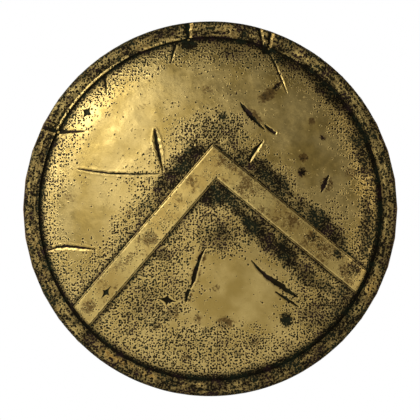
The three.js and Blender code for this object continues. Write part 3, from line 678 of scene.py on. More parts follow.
faceCuts = [
    cutOf(1.7, 0.6, 0, (79.7, 169.4, 1.8), (95, 171.8, 3.0), (109.8, 173.8, 3.6), (135, 174.6, 3.0),
          (160, 174.1, 1.2)),
    cutOf(2.9, 1.0, 0, (155.4, 129.9, 2.0), (156.6, 138, 7.2), (158.8, 150, 7.0), (161.4, 162, 4.2),
          (163.6, 171.6, 1.4)),
    cutOf(1.0, 0.2, 0, (180.8, 136.6, 1.8), (187, 141, 2.0), (194.2, 145.3, 1.8)),
    cutOf(2.0, 0.4, 0, (175.4, 46.9, 5.0), (173, 55, 3.6), (171.2, 63.4, 1.4)),
    cutOf(2.2, 0.3, 0, (104.4, 77.0, 7.0), (106.2, 84, 3.6), (107.0, 95, 1.2)),
    cutOf(2.0, 0.8, 0, (270.6, 55.5, 3.6), (275.6, 67, 3.0), (281, 80, 2.6), (286.3, 93.4, 1.4)),
    cutOf(2.4, 0.0, 0.5, (240.3, 103.8, 1.6), (245.5, 111.5, 4.6), (251.5, 118, 4.2), (257, 123.6, 2.4),
          (263.6, 129.9, 1.4)),
    cutOf(2.0, 0.4, 0.15, (264.9, 126.4, 2.6), (269.6, 130.6, 3.8), (274.3, 133.9, 4.4)),
    cutOf(2.8, 1.2, 0.14, (262.0, 142.0, 2.0), (256.5, 148.6, 4.8), (251.4, 157.0, 4.6), (249.2, 161.6, 2.0)),
    cutOf(2.2, 0.1, 0.4, (327.8, 175.6, 1.2), (325, 182, 4.2), (322.4, 187, 5.4), (320.4, 191.8, 2.0)),
    cutOf(2.6, 1.0, 0, (48.6, 250.4, 2.4), (58, 247.4, 4.6), (68, 246.4, 5.4), (82, 247.8, 4.4),
          (96.6, 249.0, 1.4)),
    cutOf(2.2, 0.3, 0.3, (204.9, 248.4, 1.6), (200.6, 256, 3.4), (197, 268, 4.6), (193.6, 280, 4.4),
          (191.2, 286.6, 2.0)),
    cutOf(1.8, 0.2, 0.3, (188.8, 290.4, 4.2), (187.4, 295, 3.6), (186.2, 301, 1.6)),
    cutOf(2.8, 0.4, 0.2, (251.5, 260.4, 1.8), (259, 269.5, 4.0), (267.6, 277, 5.8), (277, 283, 7.4),
          (287, 290.6, 6.2), (297, 296.4, 1.6)),
    cutOf(2.0, 0.4, 0.15, (275.6, 291.6, 2.4), (286, 298.6, 4.4), (298, 306.0, 2.0)),
    cutOf(2.6, 0.4, 0, (52, 131.6, 11.0), (62, 132.6, 9.0), (72, 132.4, 5.0), (85.6, 131.8, 1.2)),
]

# Hollows with soft edges: depth in millimetres, how dark inside
hollows = marksOf(("depth", "dark"), [
    (189.0, 45.0, 10.0, 6.0, 0, 2.6, 1.0), (266.0, 50.5, 7.5, 5.5, 30, 2.2, 1.0),
    (132, 150, 40, 9, -42, 1.5, 0), (112, 122, 26, 10, -50, 1.0, 0), (146, 116, 9, 7, 0, 1.4, 0),
    (95, 205, 24, 12, -75, 1.6, 0), (232, 85, 16, 9, 0, 1.2, 0), (300, 130, 30, 12, 40, 1.5, 0),
    (240, 300, 30, 14, -60, 1.4, 0), (150, 300, 18, 12, 0, 1.2, 0),
])

# Dark, thickly punched areas
darkAreas = marksOf(("pits", "dark"), [
    (180, 170, 46, 12, -49, 1.0, 1.05), (148, 205, 26, 9, -49, 1.0, 0.6), (196, 152, 18, 8, -49, 1.0, 1.1),
    (262, 172, 56, 11, 39, 1.0, 0.98), (318, 220, 40, 11, 39, 1.0, 1.05), (250, 221, 44, 10, 39, 1.0, 1.0),
    (276, 247, 42, 11, 40, 1.0, 1.08), (308, 276, 38, 13, 39, 1.0, 0.9), (214, 196, 25, 13, 0, 1.0, 1.2),
    (220, 232, 26, 22, 0, 1.0, 0.68), (232, 53, 16, 9, 0, 1.0, 0.75), (290, 62, 30, 9, 28, 1.0, 0.95),
    (326, 90, 36, 10, 46, 1.0, 1.0), (362, 150, 42, 12, 72, 1.0, 0.9), (365, 230, 40, 9, 95, 1.0, 0.85),
    (152, 302, 42, 27, -30, 1.0, 0.58), (162, 254, 12, 9, 0, 1.0, 0.75), (110, 350, 34, 7, 38, 0.8, 0.8),
    (290, 362, 60, 13, -24, 1.0, 0.78), (345, 305, 18, 36, 20, 1.0, 0.85), (322, 314, 28, 28, 0, 1.0, 0.72),
    (160, 250, 26, 42, 40, 0.9, 0.42), (205, 345, 80, 20, 0, 0.9, 0.35), (215, 132, 36, 16, 0, 1.0, 0.62),
])

stains = marksOf(("black", "brown"), [
    (222, 117, 8, 6, 25, 0.66, 0.6), (267, 96, 13, 7, -38, 0.45, 0.9), (301, 173, 6, 6, 0, 0.7, 0.9),
    (286, 319, 8, 9, 0, 0.8, 0.7), (254, 340, 7.5, 7, 0, 0.5, 1.0), (173, 312, 9, 7, 0, 0.45, 0.8),
    (225, 228, 15, 12, 0, 0.35, 0.55), (225, 322, 11, 7, 0, 0.35, 0.85), (207, 90, 8, 6, 0, 0.2, 0.6),
    (142, 107, 7, 6, 0, 0.1, 0.5), (350, 173, 7, 5, 0, 0.35, 0.9), (70, 197, 10, 7, 0, 0.15, 0.5),
    (150, 152, 6, 5, 0, 0.1, 0.5), (205, 244, 5, 5, 0, 0.2, 0.7), (157, 325, 6, 5, 0, 0.5, 0.8),
    (178, 335, 7, 4, 30, 0.5, 0.7), (198, 318, 5, 6, 0, 0.25, 0.7), (187, 356, 9, 5, 0, 0.45, 0.7),
    (216, 287, 5, 5, 0, 0.3, 0.6), (222, 231, 10, 7, 0, 0.55, 0.8), (288, 346, 10, 7, 0, 0.4, 0.6),
    (303, 158, 5.5, 5, 0, 0.5, 0.95), (311, 122, 4, 5, 0, 0.4, 0.8), (322, 138, 4.5, 4, 0, 0.65, 0.8),
    (277, 87, 8, 4, -55, 0.6, 0.9), (326, 184, 8, 9, 0, 0.5, 0.85), (202, 256, 5, 9, 20, 0.5, 0.9),
    (196, 274, 6, 12, 15, 0.4, 0.85), (188, 295, 5, 8, 15, 0.5, 0.9), (254, 118, 6, 14, -40, 0.4, 0.8),
    (130, 213, 4, 4, 0, 0.3, 0.7), (205, 330, 5, 4, 0, 0.4, 0.8), (238, 352, 6, 4, 0, 0.4, 0.8),
])

# Where the punched pits lie thick, how far they reach from rim and chevron, and where they are few
stipple = {
    "reach": 30,
    "thick": marksOf((), [(150, 290, 45, 32, -35), (215, 215, 30, 26, 0), (320, 300, 40, 40, 0),
                          (210, 140, 40, 26, 0), (200, 350, 90, 22, 0), (90, 290, 30, 30, 0)]),
    "smooth": marksOf((), [(120, 135, 60, 34, -40), (85, 215, 30, 34, 0), (285, 120, 52, 40, 35),
                           (315, 175, 26, 36, 0), (240, 290, 38, 36, 0), (170, 85, 30, 20, 0)]),
}


# How thick the pits lie at a place of the face, and how dark it is: patina by the rim, with painted shade on
# the right, and patina and painted shadow beside the chevron
def faceStipple(x, z, px, py):
    fromRim = (bowl["footRadius"] - hypot(x, z)) / photo["pixel"]
    across = chevronAcross(x, z)
    fromChevron = max(-across, across - chevron["width"]) / photo["pixel"]
    angle = atan2(z, x)
    cloud = lumps(x, z, 0.045, 11)
    rimBand = exp(-(max(fromRim, 0) / (stipple["reach"] * (0.85 + 0.35 * cloud))) ** 1.6)
    plateBand = exp(-(max(fromChevron, 0) / (stipple["reach"] * (1 + 0.4 * cloud))) ** 1.6)
    pits = max(rimBand, plateBand * 0.95, 0.16 + 0.1 * cloud)
    for mark in stipple["thick"]:
        pits = max(pits, 0.8 * fall(0.5, 1.5, ellipseShare(mark, px, py)))
    for mark in stipple["smooth"]:
        pits *= 1 - 0.68 * fall(0.45, 1.25, ellipseShare(mark, px, py))
    # painted shade: the dark groove by the rim is painted wider and darker towards the right, the side away
    # from the light
    shadedRight = 0.5 + 0.5 * cos(angle + radians(20))
    atLeft = hump(angle % (2 * pi) - pi, radians(24))
    patchy = max(0.9 + 0.7 * lumps(x, z, 0.026, 13), 0.35)
    rimReach = (2.6 + 2.8 * shadedRight + 2 * atLeft) * patchy
    rimDark = (1.0 + 0.15 * shadedRight) * exp(-max(fromRim - 1, 0) / rimReach)
    # patina and painted shadow: a dark band beside the chevron's raised edges
    plateDark = 1.15 * exp(-max(fromChevron, 0) / 5.5)
    patina = max(rimDark, plateDark, 0.40 * pits)
    ragged = 0.30 * cloud + 0.45 * lumps(x, z, 0.016, 12)
    for mark in darkAreas:
        share = fall(0.30, 1.55, ellipseShare(mark, px, py) + ragged)
        pits = max(pits, mark["pits"] * min(share * 1.6, 1))
        patina = max(patina, mark["dark"] * share)
    return min(pits * 1.12, 1), min(patina, 1.1)


# Height over the bowl's own curve, and the values carried, at a place of the face
def faceAt(x, z):
    px, py = toPixel(x, z)
    r = hypot(x, z)
    across = chevronAcross(x, z)
    inside = fall(0.385, 0.402, r)
    under = rise(-4 * mm, 4 * mm, across) * fall(chevron["width"] - 4 * mm, chevron["width"] + 4 * mm, across)
    height = mm * inside * sum(high * lumps(x, z, size * mm, seed) for high, size, seed in face["hammer"])
    height -= under * (max(height, 0) + 0.1 * mm)
    cutHeight, deep, bareAndHighlight = carve(faceCuts, px, py)
    holeHeight, holeDeep, holeBare = carvePunctures("face", px, py)
    bareAndHighlight = max(bareAndHighlight, holeBare)
    height += (cutHeight + holeHeight) * fall(0.397, 0.404, r)
    dark = 0.0
    for mark in hollows:
        share = fall(0.2, 1.5, ellipseShare(mark, px, py))
        height -= mark["depth"] * mm * share * fall(0.399, 0.4045, r)
        dark = max(dark, mark["dark"] * share)
    pits, patina = faceStipple(x, z, px, py)
    black, brown = stainValues(stains, px, py)
    punched = sum(max(lumps(x, z, size * mm, seed), 0) for size, seed in face["punch"])
    height = max(height, -face["deepest"]) - face["punchDepth"] * pits * punched * inside * (1 - under)
    # black holds the stains, and the grime and painted shadow in the cuts
    return height, {"pits": pits * (1 - bareAndHighlight), "patina": patina * (1 - bareAndHighlight), "brown": brown,
                    "black": max(black, deep, holeDeep, dark), "rub": 0.8 * min(bareAndHighlight, 1)}


def makeFace():
    bm = discGrid(2 * face["rings"], bowl["footRadius"])
    for reach in (1.8, 0.3):
        refine(bm, lambda place: inCut(faceCuts, *toPixel(place.x, place.z), reach + 4, reach)
               or nearPunctures(*toPixel(place.x, place.z), 9 + reach))
    refine(bm, lambda place: nearPunctures(*toPixel(place.x, place.z)))
    channels = addChannels(bm)
    for vert in bm.verts:
        x, z = vert.co.x, vert.co.z
        height, values = faceAt(x, z)
        vert.co = bowlPoint(x, z) + bowlNormal(x, z) * height
        carry(vert, channels, **values)
    edges = openEdges(bm)
    for step, radius in enumerate(face["flange"]):
        edges, ring = extrudeEdges(bm, edges)
        isBack = step == len(face["flange"]) - 1
        for vert in ring:
            share = radius * mm / hypot(vert.co.x, vert.co.z)
            x, z = vert.co.x * share, vert.co.z * share
            sunk = min(carve(rimCuts, *toPixel(x, z))[0], 0)
            vert.co = (x, footY + (face["flangeSheet"] if isBack else 0) - sunk, z)
            carry(vert, channels, patina=1.0, black=1.0)
    addBack(bm, face["backRings"], face["backDepth"])
    return addObject("face_bronze", bm, wornBronze("face"), "face_sheet")


# The rim band's marks come first, since the face's flange sinks under its notches

rimCuts = [
    cutOf(3.4, 0.9, 0, (188.6, 18.5, 9.5), (188.2, 30, 8.0), (188.6, 42, 5.0)),
    cutOf(3.0, 1.1, 0, (258.5, 24, 5.0), (260.5, 36, 5.4), (262.5, 46, 4.0)),
    cutOf(3.4, 1.2, 0, (271.5, 26, 9.0), (270.0, 38, 6.0), (268.6, 50, 3.0)),
    cutOf(3.0, 0.9, 0, (40.5, 126.6, 7.0), (49, 129.6, 7.4), (60, 132.6, 6.0)),
    cutOf(1.6, 0.6, 0, (45.5, 119.8, 2.4), (53, 122.6, 3.0), (60, 126.0, 2.0)),
]
print("face", len(makeFace().data.vertices))


# The chevron: two arms of one plate, bevelled, laid over the bowl

chevronStains = marksOf(("black", "brown"), [
    (228, 163, 13, 6, 38, 0.35, 1.0), (151, 238, 9, 8, 0, 0.3, 1.0), (90, 306, 9, 7, -45, 0.25, 0.9),
    (311, 237, 7, 8, 50, 0.55, 0.9), (336, 254, 9, 7, 38, 0.6, 0.8), (352, 268, 9, 12, 38, 0.6, 0.8),
    (118, 262, 7, 5, -45, 0.2, 0.45), (130, 258, 12, 5, -49, 0.25, 0.62), (80, 318, 7, 6, -49, 0.2, 0.8),
    (168, 218, 12, 6, -49, 0.05, 0.45), (252, 190, 12, 7, 39, 0.1, 0.65), (322, 246, 14, 8, 39, 0.4, 0.8),
    (345, 270, 10, 10, 39, 0.45, 0.85),
])


# A place of the plate from its own directions: down an arm, and in from the outer edge
def armPoint(side, along, across):
    half = chevron["halfAngle"]
    point = Vector((side * (sin(half) * along - cos(half) * across), -cos(half) * along - sin(half) * across))
    point.rotate(Matrix.Rotation(chevron["tilt"], 2))
    return point + Vector(chevron["apex"])


# How far down an arm the groove cuts it off, found by halving
def armEnd(side, across):
    low, high = 0.0, 2 * chevron["reach"]
    for _ in range(40):
        middle = (low + high) / 2
        if armPoint(side, middle, across).length < chevron["reach"]:
            low = middle
        else:
            high = middle
    return low


def acrossStops():
    edge = [stop for stop, _ in chevron["edge"]]
    flat, count = chevron["width"] - 2 * edge[-1], chevron["across"]
    inner = [edge[-1] + flat * step / count for step in range(1, count)]
    return edge + inner + [chevron["width"] - stop for stop in reversed(edge)]


def edgeHeight(off):
    stops = chevron["edge"]
    for (fromOff, fromShare), (toOff, toShare) in zip(stops, stops[1:]):
        if off <= toOff:
            return fromShare + (toShare - fromShare) * max(off - fromOff, 0) / (toOff - fromOff)
    return 1.0


def makeChevron():
    bm = bmesh.new()
    stops = acrossStops()
    for side in (1, -1):
        made = bmesh.ops.create_grid(bm, x_segments=chevron["along"], y_segments=len(stops) - 1, size=1)
        for vert in made["verts"]:
            across = stops[round((vert.co.y + 1) / 2 * (len(stops) - 1))]
            start = across / sin(chevron["halfAngle"]) * cos(chevron["halfAngle"])
            along = start + (armEnd(side, across) - start) * (vert.co.x + 1) / 2
            point = armPoint(side, along, across)
            vert.co = (point.x, 0, point.y)
    bmesh.ops.remove_doubles(bm, verts=bm.verts, dist=0.05 * mm)
    for _ in range(2):
        refine(bm, lambda place: nearPunctures(*toPixel(place.x, place.z)))
    bmesh.ops.recalc_face_normals(bm, faces=bm.faces)
    bmesh.ops.solidify(bm, geom=bm.faces[:], thickness=-chevron["sheet"])
    channels = addChannels(bm)
    middleY = sum(vert.co.y for vert in bm.verts) / len(bm.verts)
    for vert in bm.verts:
        x, z = vert.co.x, vert.co.z
        if vert.co.y >= middleY:
            vert.co = bowlPoint(x, z, chevron["underside"] - chevron["seat"])
            continue
        px, py = toPixel(x, z)
        across = chevronAcross(x, z)
        fromEnd = chevron["reach"] - hypot(x, z)
        off = max(min(across, chevron["width"] - across, fromEnd * 1.6), 0)
        ragged = 0.35 * mm * lumps(x, z, 0.012, 21)
        height = chevron["top"] * edgeHeight(max(off + ragged * (off > 0), 0))
        height += (0.28 * lumps(x, z, 0.050, 22) - 0.28) * mm * rise(0, 6 * mm, off)
        height += 0.10 * mm * lumps(x, z, 0.015, 23) * rise(0, 4 * mm, off)
        holeHeight, holeDeep, _ = carvePunctures("chevron", px, py)
        vert.co = bowlPoint(x, z) + bowlNormal(x, z) * (chevron["seat"] + height + holeHeight)
        black, brown = stainValues(chevronStains, px, py)
        # wear and painted highlight: the bevel tops are brightened all round
        bevelWearAndHighlight = min(max(0.75 + 0.6 * lumps(x, z, 0.022, 27), 0), 1)
        tanned = 0.22 + 0.21 * rise(170, 260, px)
        tanned += 0.55 * lumps(x, z, 0.032, 25) + 0.22 * lumps(x, z, 0.011, 26)
        carry(vert, channels, black=max(black, holeDeep), brown=max(brown, tanned),
              pits=0.14 + 0.40 * max(lumps(x, z, 0.03, 24), 0) + 0.45 * max(black, brown),
              patina=max(0.95 * hump(off - 2.6 * mm, 1.2 * mm), 0.35 * fall(3 * mm, 7 * mm, off)),
              rub=bevelWearAndHighlight * hump(off - 5.0 * mm, 1.2 * mm))
    return addObject("chevron_bronze", bm, wornBronze("chevron"), "chevron")


print("chevron", len(makeChevron().data.vertices))


# The rim band: one turned section, hammered, notched and out of true

rim = {
    "steps": 900,
    "frontY": footY - 1.3 * mm,
    "outer": 449.6 * mm,
    "inner": 410 * mm,
    "round": 5.2 * mm,
    "lip": 414 * mm,
    "sheet": 1.0 * mm,
    "flats": 13,
    # the bead at the groove: distance out from the inner edge, height over the front
    "bead": [(0, 0.4), (0.6, 1.7), (2.0, 2.4), (3.4, 1.7), (5.0, 0.2)],
    # the bead is painted dark elsewhere, patina and painted shade; these arcs face the light and stay bright,
    # wear and painted highlight
    "beadShine": [(124, 153), (99, 113), (58, 66)],     # rubbed bright between two angles from +X
}
# Where rust and bare metal show through the rim's grime
rustPatches = marksOf((), [(116, 357, 24, 6, 28), (150, 373, 20, 5, 16), (372, 288, 6, 16, 20)])


def rimSection():
    front, inner, outer, curve = rim["frontY"], rim["inner"], rim["outer"], rim["round"]
    deep = outer - rim["sheet"] - 0.6 * mm
    section = [(inner, footY - 0.3 * mm)]
    section += [(inner + out * mm, front - high * mm) for out, high in rim["bead"]]
    start, end = inner + 6.6 * mm, outer - curve
    for i in range(rim["flats"]):
        bulge = 0.9 * mm * sin(pi * i / rim["flats"]) + 0.05 * mm
        section.append((start + (end - start) * i / rim["flats"], front - bulge))
    for turn in [radians(15 * i) for i in range(7)]:
        section.append((outer - curve + curve * sin(turn), front + curve - curve * cos(turn)))
    for turn in [radians(18 * i) for i in range(1, 6)]:
        section.append((outer - curve + curve * cos(turn), backY - curve + curve * sin(turn)))
    section += [(434 * mm, backY), (424 * mm, backY), (rim["lip"], backY - 0.1 * mm),
                (rim["lip"], backY - rim["sheet"]), (430 * mm, backY - rim["sheet"]),
                (outer - curve, backY - rim["sheet"]), (deep, backY - curve), (deep, front + curve),
                (outer - curve, footY - 0.3 * mm), (430 * mm, footY - 0.3 * mm)]
    return section


def beadShine(angle):
    turn = degrees(angle) % 360
    return max(rise(low - 3, low + 3, turn) * fall(high - 3, high + 3, turn)
               for low, high in rim["beadShine"])


def outOfTrue(angle):
    wander = noise.noise(Vector((3 * cos(angle), 3 * sin(angle), 5)))
    fine = noise.noise(Vector((17 * cos(angle), 17 * sin(angle), 9)))
    return mm * (-1.5 - 1.1 * cos(2 * angle) + 0.5 * wander + 0.35 * fine)


# Patina, rust, grime and painted shade at a place of the rim: band is 0 at the groove and 1 at the outer edge
def rimShade(x, y, z, deep):
    r = hypot(x, z)
    angle = atan2(z, x)
    band = (r - rim["inner"]) / (rim["outer"] - rim["inner"])
    # painted shade: darker towards the right, the side away from the light
    shadedRight = 0.5 + 0.5 * cos(angle + radians(10))
    low = rise(0.3, 0.95, -sin(angle))
    streak = noise.noise(Vector((170 * r, 9 * cos(angle), 9 * sin(angle))))
    shade = 0.74 + 0.42 * lumps(x, z, 0.034, 33) + 0.26 * lumps(x, z, 0.012, 35) + 0.5 * streak
    # darker by the groove as patina; darker at the outer edge, more so on the right as painted shade
    shade += 0.22 * fall(0.08, 0.26, band) + (0.42 + 0.4 * shadedRight) * rise(0.74, 0.96, band)
    # darker towards the bottom, and more so at the lower right as painted shade
    shade += 0.12 * low + 0.10 * shadedRight * low
    # the bead is painted dark, patina and painted shade, except on the arcs where it faces the light
    if band < 0.15:
        shine = beadShine(angle)
        line = fall(0.03, 0.09, band)
        shade = max(shade, line) * (1 - 0.9 * shine)
        deep = max(deep, line * (1 - shine))
    rust = max(fall(0.3, 1.4, ellipseShare(mark, *toPixel(x, z))) for mark in rustPatches)
    rust *= min(max(0.6 + 1.2 * streak + 1.0 * lumps(x, z, 0.009, 37), 0), 1)
    shade *= 1 - 0.55 * rust
    if y > backY - 3 * mm:
        shade = 0.22 + 0.34 * lumps(x, z, 0.028, 36) + 0.5 * fall(0.415, 0.421, r)
    brown = max(0.3 + 0.22 * low + 0.5 * max(lumps(x, z, 0.05, 34), 0), 0.75 * rust)
    return min(max(shade, 0), 1), rust, brown, deep


def makeRim():
    bm = turned([(r, y, 0) for r, y in rimSection()], True, rim["steps"])
    bmesh.ops.recalc_face_normals(bm, faces=bm.faces)
    refine(bm, lambda place: place.y <= backY - 2 * mm and inCut(rimCuts, *toPixel(place.x, place.z), 8, 2.5))
    channels = addChannels(bm)
    for vert in bm.verts:
        x, y, z = vert.co
        r = hypot(x, z)
        onFront = y < rim["frontY"] + rim["round"]
        height, deep, bareAndHighlight = 0.0, 0.0, 0.0
        if onFront:
            height, deep, bareAndHighlight = carve(rimCuts, *toPixel(x, z))
            height += mm * (0.35 * lumps(x, z, 0.030, 31) + 0.25 * lumps(x, z, 0.013, 32) - 0.25)
        notch = deep * 1.6 * mm * rise(0.440, 0.449, r)
        share = (r + outOfTrue(atan2(z, x)) * rise(0.42, 0.445, r) - notch) / r
        vert.co = (x * share, y - height, z * share)
        shade, rust, brown, deep = rimShade(x, y, z, deep)
        carry(vert, channels, pits=(1 - bareAndHighlight) * (1.0 if y < backY - 4 * mm else 0.10),
              patina=shade * (1 - bareAndHighlight), black=deep, brown=brown, rub=0.46 * rust if onFront else 0)
    return addObject("rim_bronze", bm, wornBronze("rim"), "rim_band")


print("rim", len(makeRim().data.vertices))


# The wooden core lies behind the carved face: its front is set back, the rest is as packed

core = {"setBack": 2.9 * mm, "frontDepth": 1.0 * mm, "frontReach": 2.4 * mm, "edge": 2.0 * mm}


def makePlank(name):
    bm = bmesh.new()
    bm.from_mesh(nodes[name].data)
    bmesh.ops.remove_doubles(bm, verts=bm.verts, dist=0.01 * mm)
    for vert in bm.verts:
        x, y, z = vert.co
        r = hypot(x, z)
        if r < bowl["footRadius"] - core["edge"]:
            front = bowlPoint(x, z, core["frontDepth"])
            if abs(y - front.y) < core["frontReach"] / cos(bowlSlope(r)):
                vert.co -= bowlNormal(x, z) * core["setBack"]
        elif y < footY + core["edge"]:
            vert.co.y += core["setBack"]
    addObject(name.replace("core", "wood"), bm, poplarWood, name)


for name in sorted(nodes):
    if name.startswith("core_plank"):
        makePlank(name)


# The bearer's side. A place on it is given by x and z, with a depth behind the face's own curve

depths = {
    "leatherBack": 10.4 * mm,
    "armMiddle": 11.8 * mm,
    "leather": 12.8 * mm,        # the lining's inner face
    "plate": 12.9 * mm,          # underside of what is fixed to the lining
    "foot": 14.3 * mm,           # underside of the armband's feet
}


def layerY(r, depth):
    crownRound = crownRadius - depth
    if r <= crownRound * sin(bowl["crownSlope"]):
        return crownY - sqrt(crownRound ** 2 - r * r)
    return shoulderY - sqrt((bowl["shoulderRadius"] - depth) ** 2 - (r - shoulderR) ** 2)


def onLayer(x, z, depth):
    return Vector((x, layerY(hypot(x, z), depth), z))


# A placing on the bowl: X uphill to the rim, Y off the lining, Z round the bowl
def seatAt(x, z, depth):
    r = hypot(x, z)
    slope = atan2(layerY(r + mm, depth) - layerY(r - mm, depth), 2 * mm)
    uphill = Vector((x / r * cos(slope), sin(slope), z / r * cos(slope)))
    normal = Vector((-x / r * sin(slope), cos(slope), -z / r * sin(slope)))
    seat = Matrix((uphill, normal, uphill.cross(normal))).transposed().to_4x4()
    seat.translation = onLayer(x, z, depth)
    return seat


# A thin plate lying on the bowl: a disc of cells, drawn to its outline and given its thickness
def bowlPlate(cells, outline, thick):
    bm = discGrid(cells, 1)
    soiled = bm.verts.layers.float.new("grime")
    for vert in bm.verts:
        vert[soiled] = 0.8 * rise(0.86, 0.98, hypot(vert.co.x, vert.co.z))
        x, z = outline(vert.co.x, vert.co.z)
        vert.co = onLayer(x, z, depths["plate"] - 0.12 * mm * lumps(x, z, 0.014, 63))
    bmesh.ops.remove_doubles(bm, verts=bm.verts, dist=0.02 * mm)
    thicken(bm, thick, 0.32 * thick)
    return bm


def addFitting(name, bm, replaced, body="shield"):
    addObject(name, bm, fittingBronze, replaced, body)


rivet = {"radius": 4.5 * mm, "height": 2.6 * mm, "sunk": 0.2 * mm, "rings": 6, "steps": 24}


# A domed rivet head, seated on a plate whose upper side lies at a depth
def addRivet(kind, number, x, z, depth):
    section = [(0, 0), (rivet["radius"] * 0.92, 0)]
    for step in range(rivet["rings"] + 1):
        angle = (pi / 2) * step / rivet["rings"]
        section.append((rivet["radius"] * cos(angle), rivet["height"] * (0.12 + 0.88 * sin(angle))))
    section[-1] = (0, rivet["height"])
    bm = turned([(r, y, 0) for r, y in section], False, rivet["steps"])
    bmesh.ops.remove_doubles(bm, verts=bm.verts, dist=0.005 * mm)
    bmesh.ops.transform(bm, matrix=seatAt(x, z, depth - rivet["sunk"]), verts=bm.verts)
    addFitting("%s_rivet_head_%d" % (kind, number), bm, "%s_rivet_%d" % (kind, number))


# The leather lining: a round middle and six gores, sewn together, with a rolled hem at the edge

lining = {
    "rings": 76,
    "backRings": 16,
    "middle": 62 * mm,
    "gores": 6,
    "seamReach": 5 * mm,
    "seamDepth": 1.0 * mm,
    "puff": 0.55 * mm,
    "deepest": 1.1 * mm,
    "hem": 1.7 * mm,
    "hemOut": 1.3 * mm,
    "hemDown": 0.5 * mm,
    "hemTurns": [radians(-40 + 27 * step) for step in range(9)],
    "stitch": (5.0 * mm, 0.55 * mm),
    "stitchStep": 7.4 * mm,
    "stitchLift": 0.35 * mm,
    "rowOff": 3.4 * mm,
    "hemRow": 385 * mm,
}


def fromSeam(x, z):
    r = hypot(x, z)
    if r < lining["middle"] - 2 * lining["seamReach"]:
        return lining["middle"] - r
    step = 2 * pi / lining["gores"]
    angle = atan2(z, x)
    fromRay = abs(angle - step * round(angle / step)) * r
    fromRing = abs(r - lining["middle"])
    return min(fromRing, fromRay) if r > lining["middle"] else fromRing


# Rolls the lining's open edge back round a small middle, in the bowl's section
def rollHem(bm, edgeR):
    slope = bowl["footSlope"]
    out = Vector((cos(slope), sin(slope)))
    up = Vector((-sin(slope), cos(slope)))
    middle = Vector((edgeR, layerY(edgeR, depths["leather"])))
    middle += out * lining["hemOut"] - up * lining["hemDown"]
    edges = openEdges(bm)
    for turn in lining["hemTurns"]:
        place = middle + lining["hem"] * (cos(turn) * up + sin(turn) * out)
        edges, ring = extrudeEdges(bm, edges)
        for vert in ring:
            share = place.x / hypot(vert.co.x, vert.co.z)
            vert.co = (vert.co.x * share, place.y, vert.co.z * share)


def makeLining():
    edgeR = shoulderR + (bowl["shoulderRadius"] - depths["leather"]) * sin(bowl["footSlope"])
    bm = discGrid(2 * lining["rings"], edgeR)
    for reach in (2.4, 1.2):
        refine(bm, lambda place: fromSeam(place.x, place.z) < reach * lining["seamReach"])
    soiled = bm.verts.layers.float.new("grime")
    rubbed = bm.verts.layers.float.new("rub")
    for vert in bm.verts:
        x, z = vert.co.x, vert.co.z
        r = hypot(x, z)
        off = fromSeam(x, z)
        beside = off - lining["seamReach"]
        roundArm = fall(0.95, 1.45, hypot(x / 0.066, z / 0.166) + 0.12 * lumps(x, z, 0.02, 53))
        atHem = rise(0.368, 0.393, r + 0.004 * lumps(x, z, 0.03, 54))
        vert[soiled] = min(0.85 * hump(off, 2.2 * mm) + 0.75 * roundArm + 0.6 * atHem, 1)
        vert[rubbed] = 0.9 * hump(beside, 3 * mm) + 0.35 * lumps(x, z, 0.05, 55)
        height = lining["puff"] * hump(beside, 4 * mm) - lining["seamDepth"] * hump(off, 1.3 * mm)
        height += mm * fall(0.380, 0.392, r) * (0.5 * lumps(x, z, 0.070, 51) + 0.25 * lumps(x, z, 0.024, 52))
        lift = seatAt(x, z, depths["leather"]).col[1].to_3d() if r > mm else Vector((0, 1, 0))
        vert.co = onLayer(x, z, depths["leather"]) + lift * max(height, -lining["deepest"])
    rollHem(bm, edgeR)
    addBack(bm, lining["backRings"], depths["leatherBack"])
    addObject("lining_leather", bm, liningLeather, "bowl_lining")


# Small sewn stitches, each a stretched bead lying along its row
def addStitch(bm, place, along, normal):
    half, thick = lining["stitch"][0] / 2, lining["stitch"][1]
    across = normal.cross(along).normalized()
    matrix = Matrix((along * half, across * thick, normal * thick)).transposed().to_4x4()
    matrix.translation = place
    bead = bmesh.new()
    bmesh.ops.create_uvsphere(bead, u_segments=6, v_segments=4, radius=1, matrix=matrix)
    joinTo(bm, bead)


def stitchAt(bm, x, z, alongX, alongZ):
    seat = seatAt(x, z, depths["leather"])
    normal = seat.col[1].to_3d()
    ahead = onLayer(x + alongX * mm, z + alongZ * mm, depths["leather"]) - onLayer(x, z, depths["leather"])
    addStitch(bm, seat.translation + normal * lining["stitchLift"], ahead.normalized(), normal)


def makeStitches():
    bm = bmesh.new()
    rowOff = lining["rowOff"]
    for r in (lining["middle"] - rowOff, lining["middle"] + rowOff, lining["hemRow"]):
        count = round(2 * pi * r / lining["stitchStep"])
        for angle in [2 * pi * step / count for step in range(count)]:
            stitchAt(bm, r * cos(angle), r * sin(angle), -sin(angle), cos(angle))
    for gore in range(lining["gores"]):
        outX, outZ = cos(2 * pi * gore / lining["gores"]), sin(2 * pi * gore / lining["gores"])
        for side in (-rowOff, rowOff):
            r = lining["middle"] + 2.2 * rowOff
            while r < lining["hemRow"] - 4 * mm:
                stitchAt(bm, r * outX - side * outZ, r * outZ + side * outX, outX, outZ)
                r += lining["stitchStep"]
    addObject("lining_stitches", bm, stitchThread)


# The armband: one sheet, foot, bend, arch, bend and foot, with rolled edges on the arch

